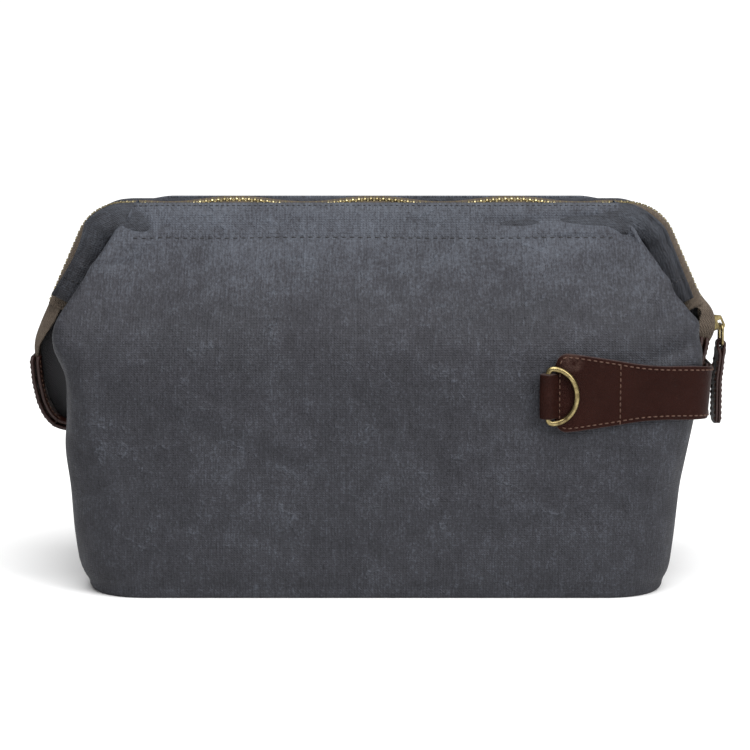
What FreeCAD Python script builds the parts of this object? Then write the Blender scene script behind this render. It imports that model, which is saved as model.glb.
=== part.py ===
"""Shaving kit bag with a sprung-wire frame mouth.

A waxed canvas body stands on a flat base.  Two wire frames, each sewn into a canvas
casing, lean together along a brass zip and hinge on the bag's ends to open the mouth.
A leather carry handle wraps one end and holds a D-ring at its front patch.

Millimetres.  +X runs along the bag towards the handle end, the front faces -Y, +Z is up.
The origin is the centre of the base's underside.
"""
import FreeCAD, Part
import math
import os

# ---- overall sizes ----
BAG_LENGTH = 269.0          # across the top corners of the front panel
BAG_DEPTH = 114.0           # front face to back face
BODY_HEIGHT = 113.0         # floor to the top of the rigid lower body
ZIP_RISE = 46.0             # top of the lower body to the line of the zip teeth
BASE_SPREAD = 17.5          # how far the foot tucks in from the top corners, each end

# ---- canvas and lining ----
CANVAS = 2.4
LINING = 0.6
LINING_GAP = 0.3
BOARD_THICK = 2.0
BOARD_GAP = 3.0
GUSSET_TUCK = 16.5          # how deep the end folds in at the top, at the middle seam
SEAM_TAPE_WIDE = 9.0
SEAM_TAPE_THICK = 1.0
SEAM_ALLOWANCE = 3.0        # the foot's outline beyond the rolled base seam
FOLD_HALF_WIDE = 17.6       # dip in each end's top edge, where the frames' feet swing
FOLD_DEEP = 7.3

# ---- wire frame mouth ----
HINGE_GAP = 0.5             # from the lower body's top edge up to the hinge axis
MOUTH_GAP = 1.1             # from the lower body's top edge up to the moving panels
MOUTH_CLEAR = 3.2           # moving panel inside the lower body's outer face
ZIP_LEAN = 24.0             # degrees, the mouth's sloping ends from upright
ZIP_OVERHANG = 8.1          # zip line beyond the top corners, where the slider parks
ZIP_CORNER_R = 20.0
CASING_WIDE = 11.0
CASING_THICK = 5.0
CASING_STEP = 2.6           # casing rim below the line of teeth
CASING_TOP_Y = 6.8          # near face of the casing from the middle plane
CASING_RAISE = 7.8          # casing ends above the hinge axis
TAPE_RAISE = 3.5            # mouth tape ends above the hinge axis
WIRE_D = 3.0
WIRE_CAP_D = 4.0
WIRE_CAP_LONG = 9.0
WIRE_INSIDE = 3.0           # wire's end above the casing's end
CAP_INSIDE = 2.0
PANEL_TOP_LAP = 1.6         # moving panel laps up over the casing's seam
PANEL_END_TOP = 17.0        # moving panel's top end, in from the zip's virtual corner
PANEL_END_FOOT = 20.5       # moving panel's foot end, in from the body's top corner

# ---- zip ----
TAPE_THICK = 0.8
TAPE_EDGE_Y = 2.8           # tape's sewn edge, where the teeth start
TAPE_BEND_Y = 5.5
SKIRT_DEEP = 6.5
TOOTH_PITCH = 2.6
TOOTH_LONG = 1.0
TOOTH_THICK = 2.2
TOOTH_REACH = 0.6           # past the middle plane
TEETH_RAISE = 3.6           # first tooth above the hinge axis

# ---- slider, ring and pull ----
SLIDER_DROP = 4.0           # slider centre below the hinge axis at rest
SLIDER_LONG = 10.4
SLIDER_NOSE_HALF = 4.5
SLIDER_TAIL_HALF = 4.1
SLIDER_PLATE = 0.8
SLIDER_CHANNEL = 2.8
SLIDER_SLOT = 1.3
SLIDER_RAIL = 0.8
NOSE_CUT_ALONG = 1.2        # corners cut off the slider's wide end
NOSE_CUT_ACROSS = 1.6
TAIL_CUT_ALONG = 1.0
TAIL_CUT_ACROSS = 1.2
WEDGE_FOOT_HALF = 1.3
WEDGE_TOP_HALF = 0.5
WEDGE_TOP = 0.8             # above the slider's centre
CROWN_WIDE = 2.2
CROWN_LONG = 7.4
CROWN_WALL = 0.9
CROWN_TOP_CUT = 1.0
CROWN_BACK_SLOPE = 2.0
CROWN_SLOT_END = 1.6
RING_WIRE_D = 1.4
RING_HALF_WIDE = 5.0
RING_CORNER = 1.4
RING_LONG = 8.0
RING_STAND = 1.75           # ring's pivot above the slider's outer plate
RING_ALONG = 4.2            # ring's pivot below the slider's centre
FIT = 0.06                  # radial clearance of a wire in its eye
PULL_LONG = 34.0
PULL_WIDE = 16.0
PULL_LEATHER = 1.3
PULL_CORNER = 4.0
PULL_SHOULDER = 0.4         # below the fold's underside

# ---- zip-end tabs ----
TAB_WIDE = 18.0
TAB_LEATHER = 1.6
FORK_LONG = 6.2             # slot in the end tape below the slider's centre
END_TAPE_GAP = 0.2          # below the hinge axis
END_TAPE_STRAIGHT = 1.4     # past the slider before it turns down
TAB_BEND = 0.45             # share of a run that its bends take up
SLOT_BOX = 40.0             # larger than any slot it cuts
# Each tab's run in mm: out from the top corner, and down from the slider's centre.  The last
# place is set in from the end seam at its height instead, where the tab is sewn to it.
LEFT_TAB_RUN = [(11.4, 10.5), (11.5, 17.5), (10.9, 25.5), (9.4, 34.5), (6.5, 42.5),
                (2.1, 48.5), (-0.337, 52.0)]
RIGHT_TAB_RUN = [(8.7, 10.0), (5.8, 14.2), (2.9, 18.2), (2.4, 25.5), (1.4, 33.5),
                 (-0.8, 41.5), (-0.49, 49.5)]

# ---- carry handle ----
HANDLE_DROP = 26.6          # strap's middle below the top of the lower body
STRAP_WIDE = 22.0
PATCH_WIDE = 32.5
PATCH_LONG = 25.0
FLARE_LONG = 17.0
PATCH_END_X = 60.5          # patch's end, in from the bag's top corner
PATCH_CORNER = 5.0
PATCH_FALL = 1.2            # patch's edges close in before they flare
HANDLE_LEATHER = 1.4
HANDLE_SAG = 7.0
HANDLE_CORNER_R = 6.0
HANDLE_LIFT_R = 10.0
HANDLE_STAND = 6.1          # strap's middle, out from the tab's tape where the tab slopes
TAB_RISE = 1.25             # the sloping tab's face stands out this much per mm of leather
HANDLE_TURN_X = 0.4         # strap's turn, out from the bag's top corner
HANDLE_TURN_Y = 4.1         # strap's turn, back from the front face
HANDLE_LIFT_X = 19.0        # where the strap leaves the canvas, in from the corner
HANDLE_TRIM = 20.0          # handle outline past the strap's middle

# ---- D-ring ----
D_RING_WIRE = 2.4
D_RING_HALF = 11.3
D_RING_DEEP = 11.8
LOOP_TALL = 18.4
LOOP_LEATHER = 2.2
LOOP_TAIL = 1.4
LOOP_TAIL_LONG = 26.0
LOOP_AHEAD = 4.2            # ring's bar ahead of the patch's end
LOOP_TAIL_START = 2.0       # tail's narrow end, past the bar
LOOP_WEB_LONG = 4.0
D_RING_DROP = 1.0           # ring's middle below the handle's
D_RING_CLEAR = 0.15

# ---- worked out from the sizes above ----
HALF_LENGTH = BAG_LENGTH / 2
HALF_DEPTH = BAG_DEPTH / 2
HINGE_Z = BODY_HEIGHT + HINGE_GAP
ZIP_TOP = BODY_HEIGHT + ZIP_RISE
LEAN = math.radians(ZIP_LEAN)
SLIDER_Z = HINGE_Z - SLIDER_DROP
SLIDER_X = HALF_LENGTH + ZIP_OVERHANG
ZIP_CORNER_X = SLIDER_X - (ZIP_TOP - SLIDER_Z) * math.tan(LEAN)
PLATE_FACE = SLIDER_CHANNEL / 2 + SLIDER_PLATE
CASING_MID_Y = CASING_TOP_Y + CASING_THICK / 2
CASING_FACE_Y = CASING_TOP_Y + CASING_THICK
CASING_FOOT = CASING_STEP + CASING_WIDE
HANDLE_Z = BODY_HEIGHT - HANDLE_DROP
HANDLE_REACH = HANDLE_STAND + TAB_RISE * TAB_LEATHER
FRONT, BACK = -1, 1
LEFT, RIGHT = -1, 1

# Stations of the soft body: share of the body height, then insets in mm of the front
# corner, the face and the end seam from the overall box, and the corner's radius.
STATIONS = [
    (0.022, BASE_SPREAD - SEAM_ALLOWANCE, 3.5, 12.5, 24.0),
    (0.08, BASE_SPREAD - 6.5, 1.2, 10.0, 24.0),
    (0.22, 9.0, 0.0, 7.5, 23.0),
    (0.40, 7.5, 0.0, 6.0, 22.0),
    (0.53, 5.2, 0.0, 5.0, 21.0),
    (0.68, 2.4, 0.0, 6.5, 20.0),
    (0.81, 1.0, 0.0, 10.5, 19.0),
    (0.91, 0.2, 2.0, GUSSET_TUCK - 2.0, 18.0),
    (1.0, 0.0, 7.0, GUSSET_TUCK, 16.0),
]


def vec(x, y, z):
    return FreeCAD.Vector(x, y, z)


# ---- outlines that run along a bent line ----
def shifted(points, side):
    """The same bent line, each straight run moved `side` to the left of travel."""
    runs = []
    for (x0, y0), (x1, y1) in zip(points, points[1:]):
        long = math.hypot(x1 - x0, y1 - y0)
        runs.append(((x1 - x0) / long, (y1 - y0) / long))
    moved = []
    for i, (x, y) in enumerate(points):
        ux, uy = runs[max(i - 1, 0)]
        vx, vy = runs[min(i, len(runs) - 1)]
        mitre = side / (1 + ux * vx + uy * vy)
        moved.append((x - (uy + vy) * mitre, y + (ux + vx) * mitre))
    return moved


def turn_at(before, corner, after):
    """Signed turn in radians at a corner, left positive."""
    a = math.atan2(corner[1] - before[1], corner[0] - before[0])
    b = math.atan2(after[1] - corner[1], after[0] - corner[0])
    return (b - a + math.pi) % (2 * math.pi) - math.pi


def bent_edges(points, radii, side, place):
    """Straight runs joined by tangent arcs, along `points` moved `side` to the left."""
    line = shifted(points, side)
    edges = []
    start = line[0]
    for i in range(1, len(line) - 1):
        turn = turn_at(line[i - 1], line[i], line[i + 1])
        radius = radii[i - 1] - side * math.copysign(1, turn)
        reach = radius * math.tan(abs(turn) / 2)
        a = towards(line[i], line[i - 1], reach)
        b = towards(line[i], line[i + 1], reach)
        inner = radius / math.cos(turn / 2) - radius
        chord = ((a[0] + b[0]) / 2, (a[1] + b[1]) / 2)
        middle = towards(line[i], chord, inner)
        edges.append(Part.makeLine(place(*start), place(*a)))
        edges.append(Part.Arc(place(*a), place(*middle), place(*b)).toShape())
        start = b
    edges.append(Part.makeLine(place(*start), place(*line[-1])))
    return edges


def towards(p, q, distance):
    long = math.hypot(q[0] - p[0], q[1] - p[1])
    return (p[0] + (q[0] - p[0]) * distance / long, p[1] + (q[1] - p[1]) * distance / long)


def band(points, radii, left, right, place, sweep):
    """A strip between two lines beside a bent line, carried along the vector `sweep`."""
    near = bent_edges(points, radii, left, place)
    far = bent_edges(points, radii, right, place)
    ends = [Part.makeLine(near[0].Vertexes[0].Point, far[0].Vertexes[0].Point),
            Part.makeLine(near[-1].Vertexes[-1].Point, far[-1].Vertexes[-1].Point)]
    outline = Part.Wire(Part.__sortEdges__(near + far + ends))
    return Part.Face(outline).extrude(sweep)


def tube(edges, diameter):
    """A round wire along joined edges, starting at the first one's first point."""
    path = Part.Wire(edges)
    start = edges[0].valueAt(edges[0].FirstParameter)
    aim = edges[0].tangentAt(edges[0].FirstParameter)
    ring = Part.Wire([Part.makeCircle(diameter / 2, start, aim)])
    return path.makePipeShell([ring], True, False)


# ---- lower body ----
def station_values(share):
    """Insets and corner radius at any share of the body height, by straight lines."""
    share = min(max(share, STATIONS[0][0]), STATIONS[-1][0])
    for low, high in zip(STATIONS, STATIONS[1:]):
        if share <= high[0]:
            t = (share - low[0]) / (high[0] - low[0])
            return [a + (b - a) * t for a, b in zip(low[1:], high[1:])]
    return list(STATIONS[-1][1:])


def wall_points(share, inset, side):
    """Outline points of one half of the body, from the right seam round to the left."""
    corner_in, face_in, seam_in, radius = station_values(share)
    cx = HALF_LENGTH - corner_in - radius
    cy = HALF_DEPTH - face_in - radius
    gx = HALF_LENGTH - seam_in
    reach = math.hypot(gx - cx, cy)
    theta = math.atan2(-cy, gx - cx) + math.acos(radius / reach)
    r = radius - inset
    seam_x = cx + (r + cy * math.sin(theta)) / math.cos(theta)
    half = (theta + math.pi / 2) / 2
    quarter = [(seam_x, 0.0),
               (cx + r * math.cos(theta), cy + r * math.sin(theta)),
               (cx + r * math.cos(half), cy + r * math.sin(half)),
               (cx, cy + r)]
    z = share * BODY_HEIGHT
    right = [vec(x, side * y, z) for x, y in quarter]
    left = [vec(-x, side * y, z) for x, y in reversed(quarter)]
    return right + left


def wall_edges(p):
    return [Part.makeLine(p[0], p[1]), Part.Arc(p[1], p[2], p[3]).toShape(),
            Part.makeLine(p[3], p[4]), Part.Arc(p[4], p[5], p[6]).toShape(),
            Part.makeLine(p[6], p[7])]


def wall(side, outer, inner):
    """Half of the body's skin, between two insets, closed at the two end seams."""
    sections = []
    for share in [s[0] for s in STATIONS]:
        a = wall_points(share, outer, side)
        b = wall_points(share, inner, side)
        edges = wall_edges(a) + [Part.makeLine(a[7], b[7])]
        edges += wall_edges(b) + [Part.makeLine(b[0], a[0])]
        sections.append(Part.Wire(Part.__sortEdges__(edges)))
    return Part.makeLoft(sections, True, True).cut(end_folds())


def end_folds():
    """Shallow dips across the top edge at both ends, where the frames' feet swing."""
    corner = vec(-BAG_LENGTH, -FOLD_HALF_WIDE, BODY_HEIGHT - FOLD_DEEP)
    return Part.makeBox(2 * BAG_LENGTH, 2 * FOLD_HALF_WIDE, 2 * FOLD_DEEP, corner)


def plate(share, inset, thick, z):
    """A flat plate with the body's outline at a station."""
    edges = wall_edges(wall_points(share, inset, FRONT))
    edges += wall_edges(wall_points(share, inset, BACK))
    face = Part.Face(Part.Wire(Part.__sortEdges__(edges)))
    face.translate(vec(0, 0, z - share * BODY_HEIGHT))
    return face.extrude(vec(0, 0, thick))


def envelope():
    """The body's outer shape as one block, to trim pieces that lie on the canvas."""
    halves = []
    for side in (FRONT, BACK):
        sections = []
        for share in [s[0] for s in STATIONS]:
            p = wall_points(share, 0.0, side)
            sections.append(Part.Wire(wall_edges(p) + [Part.makeLine(p[7], p[0])]))
        halves.append(Part.makeLoft(sections, True, True))
    return halves


def seam_tape(end):
    """Binding sewn over the seam allowances inside one end."""
    low, high = STATIONS[1][0], STATIONS[-1][0]
    inset = CANVAS + 2 * LINING_GAP + LINING
    half = SEAM_TAPE_WIDE / 2
    sections = []
    for share in [s[0] for s in STATIONS if low <= s[0] <= high]:
        a, b = wall_points(share, inset, FRONT)[:2]
        c = wall_points(share, inset, BACK)[1]
        slope = (b.x - a.x) / abs(b.y - a.y)
        z = share * BODY_HEIGHT
        outline = [vec(end * a.x, 0, z), vec(end * (a.x + slope * half), half, z),
                   vec(end * (a.x + slope * half - SEAM_TAPE_THICK), half, z),
                   vec(end * (a.x - SEAM_TAPE_THICK), 0, z),
                   vec(end * (a.x + slope * half - SEAM_TAPE_THICK), -half, z),
                   vec(end * (a.x + slope * half), -half, z)]
        sections.append(Part.makePolygon(outline + outline[:1]))
    return Part.makeLoft(sections, True, True).cut(end_folds())


# ---- mouth frames ----
def mouth_line(foot_z):
    """Zip line from the left foot up, across the top and down to the right foot."""
    foot_x = ZIP_CORNER_X + (ZIP_TOP - foot_z) * math.tan(LEAN)
    return [(-foot_x, foot_z), (-ZIP_CORNER_X, ZIP_TOP), (ZIP_CORNER_X, ZIP_TOP), (foot_x, foot_z)]


def mouth_band(side, outer, inner, near_y, far_y, foot_z):
    """A strip under the zip line from `outer` to `inner`, between two depths."""
    def place(x, z):
        return vec(x, side * near_y, z)
    radii = [ZIP_CORNER_R, ZIP_CORNER_R]
    return band(mouth_line(foot_z), radii, -outer, -inner, place, vec(0, side * (far_y - near_y), 0))


def wire_edges(side, foot_z):
    def place(x, z):
        return vec(x, side * CASING_MID_Y, z)
    middle = CASING_STEP + CASING_WIDE / 2
    return bent_edges(mouth_line(foot_z), [ZIP_CORNER_R] * 2, -middle, place)


def frame_wire(side):
    return tube(wire_edges(side, HINGE_Z + CASING_RAISE + WIRE_INSIDE), WIRE_D)


def wire_caps(side):
    """Plastic caps pushed over the wire's two ends."""
    edges = wire_edges(side, HINGE_Z + CASING_RAISE + CAP_INSIDE)
    caps = []
    for edge, sign in ((edges[0], 1), (edges[-1], -1)):
        foot = edge.Vertexes[0 if sign > 0 else -1].Point
        aim = edge.tangentAt(edge.FirstParameter) * sign
        cap = Part.makeCylinder(WIRE_CAP_D / 2, WIRE_CAP_LONG, foot, aim)
        caps.append(cap.cut(frame_wire(side)))
    return Part.makeCompound(caps)


def casing(side):
    """Canvas sleeve round the wire, closed and stitched at both feet."""
    sleeve = mouth_band(side, CASING_STEP, CASING_FOOT, CASING_TOP_Y, CASING_FACE_Y,
                        HINGE_Z + CASING_RAISE)
    for cap in wire_caps(side).Solids:
        sleeve = sleeve.cut(cap)
    return sleeve.cut(frame_wire(side))


def zip_tape(side):
    """Herringbone tape: flat beside the teeth, then turned down against the casing."""
    foot = HINGE_Z + TAPE_RAISE
    half = TAPE_THICK / 2
    flat = mouth_band(side, -half, half, TAPE_EDGE_Y, TAPE_BEND_Y, foot)
    skirt = mouth_band(side, -half, SKIRT_DEEP, TAPE_BEND_Y, CASING_TOP_Y, foot)
    return flat.fuse(skirt).removeSplitter()


def zip_teeth(side):
    """Single brass teeth along the tape edge: the main run, then the right slope's."""
    edges = bent_edges(mouth_line(HINGE_Z + TEETH_RAISE), [ZIP_CORNER_R] * 2, 0, lambda x, z: vec(x, 0, z))
    line = Part.Wire(edges)
    marks = line.discretize(Number=2 * int(line.Length / TOOTH_PITCH))
    first = 1 if side == FRONT else 2
    slope_x = edges[-1].Vertexes[0].Point.x
    main, slope = [], []
    for i in range(first, len(marks) - 1, 2):
        along = marks[i + 1] - marks[i - 1]
        tooth = Part.makeBox(TOOTH_LONG, TAPE_EDGE_Y + TOOTH_REACH, TOOTH_THICK)
        low_y = -TAPE_EDGE_Y if side == FRONT else -TOOTH_REACH
        tooth.translate(vec(-TOOTH_LONG / 2, low_y, -TOOTH_THICK / 2))
        tooth.rotate(vec(0, 0, 0), vec(0, 1, 0), -math.degrees(math.atan2(along.z, along.x)))
        tooth.translate(marks[i])
        (slope if marks[i].x > slope_x else main).append(tooth)
    return Part.makeCompound(main), Part.makeCompound(slope)


def mouth_panel(side):
    """Canvas between the casing and the lower body, narrowing to the zip."""
    foot_y = HALF_DEPTH - STATIONS[-1][2] - MOUTH_CLEAR
    top_y = CASING_FACE_Y + CANVAS
    foot_z = BODY_HEIGHT + MOUTH_GAP
    top_z = ZIP_TOP - CASING_FOOT + PANEL_TOP_LAP
    foot_x = HALF_LENGTH - PANEL_END_FOOT
    top_x = ZIP_CORNER_X - PANEL_END_TOP
    sections = []
    for x, y, z in ((foot_x, foot_y, foot_z), (top_x, top_y, top_z)):
        corners = [vec(-x, side * y, z), vec(x, side * y, z),
                   vec(x, side * (y - CANVAS), z), vec(-x, side * (y - CANVAS), z)]
        sections.append(Part.makePolygon(corners + corners[:1]))
    return Part.makeLoft(sections, True, True)


# ---- zip ends ----
def slope_point(along, out=0.0):
    """Point on the right slope, `along` down from the slider's centre and `out` from it."""
    x = SLIDER_X + along * math.sin(LEAN) + out * math.cos(LEAN)
    z = SLIDER_Z - along * math.cos(LEAN) + out * math.sin(LEAN)
    return (x, z)


def seam_inset(z):
    """The end seam's inset at a height, on the straight run between two stations."""
    share = z / BODY_HEIGHT
    for low, high in zip(STATIONS, STATIONS[1:]):
        if share <= high[0]:
            return low[3] + (high[3] - low[3]) * (share - low[0]) / (high[0] - low[0])
    return GUSSET_TUCK


def tab_line(end):
    """Middle line of a zip end: tape below the slider, then the tab down to the end seam."""
    drops = RIGHT_TAB_RUN if end == RIGHT else LEFT_TAB_RUN
    top = slope_point((HINGE_GAP + END_TAPE_GAP - SLIDER_DROP) / math.cos(LEAN))
    line = [top, slope_point(SLIDER_LONG / 2 + END_TAPE_STRAIGHT)]
    for out, drop in drops[:-1]:
        line.append((HALF_LENGTH + out, SLIDER_Z - drop))
    foot_in, foot_drop = drops[-1]
    foot_z = SLIDER_Z - foot_drop
    line.append((HALF_LENGTH - seam_inset(foot_z) + foot_in, foot_z))
    return line


def tab_strip(end, left, right, wide, first, last):
    """A strip of the zip end between two runs, starting and stopping half way along them."""
    line = tab_line(end)
    radii = []
    for i in range(1, len(line) - 1):
        runs = [math.dist(line[i], line[i - 1]), math.dist(line[i], line[i + 1])]
        turn = abs(turn_at(line[i - 1], line[i], line[i + 1]))
        radii.append(TAB_BEND * min(runs) / math.tan(turn / 2))
    part = line[first:last + 2]
    if first > 0:
        part[0] = halfway(line[first], line[first + 1])
    if last < len(line) - 2:
        part[-1] = halfway(line[last], line[last + 1])

    def place(x, z):
        return vec(end * x, -wide / 2, z)
    return band(part, radii[first:last], left, right, place, vec(0, wide, 0))


def halfway(p, q):
    return ((p[0] + q[0]) / 2, (p[1] + q[1]) / 2)


def zip_end_tab(end, outer, body):
    """One leather layer of a zip-end tab, trimmed where it is sewn to the canvas."""
    half = TAPE_THICK / 2
    near, far = (half, half + TAB_LEATHER) if outer else (-half - TAB_LEATHER, -half)
    strip = tab_strip(end, near, far, TAB_WIDE, 2, len(tab_line(end)) - 2)
    for half_body in body:
        strip = strip.cut(half_body)
    return max(strip.Solids, key=lambda piece: piece.Volume)


def zip_end_tape(end):
    """The tape's tail, from the zip's end down between the tab's leather layers."""
    half = TAPE_THICK / 2
    tape = tab_strip(end, -half, half, 2 * TAPE_BEND_Y, 0, 4)
    if end == RIGHT:
        slot = Part.makeBox(SLOT_BOX, 2 * TAPE_EDGE_Y, SLOT_BOX,
                            vec(SLIDER_X - SLOT_BOX / 2, -TAPE_EDGE_Y, SLIDER_Z - FORK_LONG))
        tape = tape.cut(slot)
    return tape


# ---- slider, ring and pull ----
def on_slope(shape):
    """Carry a piece built upright at the origin to the slider's place on the slope."""
    shape.rotate(vec(0, 0, 0), vec(0, 1, 0), -ZIP_LEAN)
    shape.translate(vec(SLIDER_X, 0, SLIDER_Z))
    return shape


def slider():
    """Brass slider: two plates round a wedge, side rails and a crown for the ring."""
    low, high = -SLIDER_LONG / 2, SLIDER_LONG / 2
    nose, tail = SLIDER_NOSE_HALF, SLIDER_TAIL_HALF
    inner = SLIDER_CHANNEL / 2
    shoulder, brow = low + NOSE_CUT_ALONG, high - TAIL_CUT_ALONG
    outline = [(-nose, shoulder), (-nose + NOSE_CUT_ACROSS, low), (nose - NOSE_CUT_ACROSS, low),
               (nose, shoulder), (tail, brow), (tail - TAIL_CUT_ACROSS, high),
               (-tail + TAIL_CUT_ACROSS, high), (-tail, brow)]
    flat = Part.Face(Part.makePolygon([vec(inner, y, z) for y, z in outline + outline[:1]]))
    plates = flat.extrude(vec(SLIDER_PLATE, 0, 0))
    body = plates.fuse(plates.mirror(vec(0, 0, 0), vec(1, 0, 0)))
    wedge = [(-WEDGE_FOOT_HALF, low), (WEDGE_FOOT_HALF, low),
             (WEDGE_TOP_HALF, WEDGE_TOP), (-WEDGE_TOP_HALF, WEDGE_TOP)]
    post = Part.Face(Part.makePolygon([vec(-inner, y, z) for y, z in wedge + wedge[:1]]))
    body = body.fuse(post.extrude(vec(2 * inner, 0, 0)))
    for y in (-1, 1):
        for x in (-1, 1):
            rail = [(y * tail, brow), (y * (tail - SLIDER_RAIL), brow),
                    (y * (nose - SLIDER_RAIL), shoulder), (y * nose, shoulder)]
            corners = [vec(x * SLIDER_SLOT / 2, b, c) for b, c in rail + rail[:1]]
            face = Part.Face(Part.makePolygon(corners))
            body = body.fuse(face.extrude(vec(x * (inner - SLIDER_SLOT / 2), 0, 0)))
    return on_slope(body.fuse(crown()).removeSplitter())


def crown():
    """Bridge on the outer plate, its slot ending where the ring's bar turns."""
    eye = RING_WIRE_D / 2 + FIT
    top = PLATE_FACE + RING_STAND + eye + CROWN_WALL
    low = -RING_ALONG - eye - CROWN_WALL
    high = low + CROWN_LONG
    sides = [(PLATE_FACE, low), (top - CROWN_TOP_CUT, low), (top, low + CROWN_TOP_CUT),
             (top, high - CROWN_BACK_SLOPE), (PLATE_FACE, high)]
    face = Part.Face(Part.makePolygon([vec(x, -CROWN_WIDE / 2, z) for x, z in sides + sides[:1]]))
    bridge = face.extrude(vec(0, CROWN_WIDE, 0))
    pivot = vec(PLATE_FACE + RING_STAND, -CROWN_WIDE, -RING_ALONG)
    hole = Part.makeCylinder(eye, 2 * CROWN_WIDE, pivot, vec(0, 1, 0))
    slot_long = CROWN_LONG - 2 * CROWN_WALL - 2 * eye - CROWN_SLOT_END
    corner = pivot + vec(-eye, 0, 0)
    slot = Part.makeBox(2 * eye, 2 * CROWN_WIDE, slot_long, corner)
    return bridge.cut(hole).cut(slot)


def ring_pivot():
    x, z = slope_point(RING_ALONG, PLATE_FACE + RING_STAND)
    return vec(x, 0, z)


def pull_ring():
    """Rounded wire link hanging from the slider's crown."""
    top = ring_pivot()
    y, drop, r = RING_HALF_WIDE, RING_LONG, RING_CORNER
    points = [(0.0, 0.0), (y, 0.0), (y, -drop), (-y, -drop), (-y, 0.0), (0.0, 0.0)]
    edges = bent_edges(points, [r] * 4, 0, lambda a, b: vec(top.x, a, top.z + b))
    first = tube(edges[:5], RING_WIRE_D)
    second = tube(edges[5:], RING_WIRE_D)
    return first.fuse(second).removeSplitter()


def zip_pull():
    """Leather strip folded over the link's lower bar, its two layers sewn together."""
    bar = ring_pivot() - vec(0, 0, RING_LONG)
    eye = RING_WIRE_D / 2 + FIT
    outside = eye + PULL_LEATHER
    wide = PULL_WIDE
    fold = Part.makeCylinder(outside, wide, vec(bar.x, -wide / 2, bar.z), vec(0, 1, 0))
    legs = Part.makeBox(2 * PULL_LEATHER, wide, PULL_LONG,
                        vec(bar.x - PULL_LEATHER, -wide / 2, bar.z - PULL_LONG))
    body = fold.fuse(legs)
    eyelet = Part.makeCylinder(eye, wide, vec(bar.x, -wide / 2, bar.z), vec(0, 1, 0))
    body = body.cut(eyelet)
    shoulder = RING_HALF_WIDE - RING_CORNER - FIT
    for y in (-1, 1):
        corner = vec(bar.x - 2 * outside, 0, bar.z - outside - PULL_SHOULDER)
        notch = Part.makeBox(4 * outside, wide, 4 * outside, corner)
        notch.translate(vec(0, shoulder if y > 0 else -shoulder - wide, 0))
        body = body.cut(notch)
    body = body.removeSplitter()
    corners = [e for e in body.Edges if is_foot_corner(e, bar.z - PULL_LONG, wide / 2)]
    return body.makeFillet(PULL_CORNER, corners)


def is_foot_corner(edge, z, half):
    box = edge.BoundBox
    flat = box.ZMax < z + 0.01 and box.YLength < 0.01
    return flat and abs(abs(box.YMax) - half) < 0.01


# ---- handle ----
def handle_line():
    """Strap's middle line in plan, from the front patch's end round to the middle plane."""
    face_y = HALF_DEPTH + HANDLE_LEATHER
    start = HALF_LENGTH - PATCH_END_X
    lift = HALF_LENGTH - HANDLE_LIFT_X
    turn = (HALF_LENGTH + HANDLE_TURN_X, -face_y + HANDLE_TURN_Y)
    end = (HALF_LENGTH + HANDLE_REACH, 0.0)
    past = towards(end, turn, -HANDLE_LEATHER * 4)
    return [(start, -face_y), (lift, -face_y), turn, past]


def handle_outline():
    """Side view of the handle: a round-cornered patch, flaring down to the strap."""
    x0 = HALF_LENGTH - PATCH_END_X
    x1 = x0 + PATCH_LONG
    x2 = x1 + FLARE_LONG
    x3 = HALF_LENGTH + HANDLE_REACH + HANDLE_TRIM
    big, small = PATCH_WIDE / 2, STRAP_WIDE / 2
    r = PATCH_CORNER
    k = r * (1 - math.sqrt(0.5))
    upper = [Part.Arc(vec(x0, 0, big - r), vec(x0 + k, 0, big - k), vec(x0 + r, 0, big)).toShape()]
    flare = Part.BezierCurve()
    flare.setPoles([vec(x0 + r, 0, big), vec(x1, 0, big - PATCH_FALL), vec(x2 - FLARE_LONG / 2, 0, small),
                    vec(x2, 0, small)])
    upper.append(flare.toShape())
    upper.append(Part.makeLine(vec(x2, 0, small), vec(x3, 0, small)))
    lower = [e.mirror(vec(0, 0, 0), vec(0, 0, 1)) for e in upper]
    ends = [Part.makeLine(vec(x0, 0, -big + r), vec(x0, 0, big - r)),
            Part.makeLine(vec(x3, 0, -small), vec(x3, 0, small))]
    face = Part.Face(Part.Wire(Part.__sortEdges__(upper + lower + ends)))
    face.translate(vec(0, -BAG_DEPTH, HANDLE_Z))
    return face.extrude(vec(0, BAG_DEPTH, 0))


def sagged(shape):
    """Lower the strap steadily from the face of the bag to the middle plane."""
    slope = HANDLE_SAG / (HALF_DEPTH + HANDLE_LEATHER)
    lean = FreeCAD.Matrix()
    lean.A32 = -slope
    lean.A34 = -HANDLE_SAG
    return shape.transformGeometry(lean)


def handle_layer(outer):
    """One leather layer of the handle, from the front patch to the back patch."""
    t = HANDLE_LEATHER
    left, right = (0.0, -t) if outer else (t, 0.0)
    low = HANDLE_Z - PATCH_WIDE / 2 - 1
    radii = [HANDLE_LIFT_R, HANDLE_CORNER_R]
    strap = band(handle_line(), radii, left, right, lambda x, y: vec(x, y, low),
                 vec(0, 0, PATCH_WIDE + 2))
    trim = Part.makeBox(2 * BAG_LENGTH, BAG_DEPTH, 2 * BODY_HEIGHT, vec(0, -BAG_DEPTH, 0))
    front = sagged(strap.common(trim).common(handle_outline()))
    back = front.mirror(vec(0, 0, 0), vec(0, 1, 0))
    layer = front.fuse(back).removeSplitter()
    if not outer:
        layer = layer.cut(loop_tail())
    return layer


# ---- D-ring ----
def d_ring_bar():
    x = HALF_LENGTH - PATCH_END_X - LOOP_AHEAD
    y = -HALF_DEPTH - 2 * HANDLE_LEATHER - D_RING_CLEAR - D_RING_WIRE / 2
    return vec(x, y, HANDLE_Z - D_RING_DROP)


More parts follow.
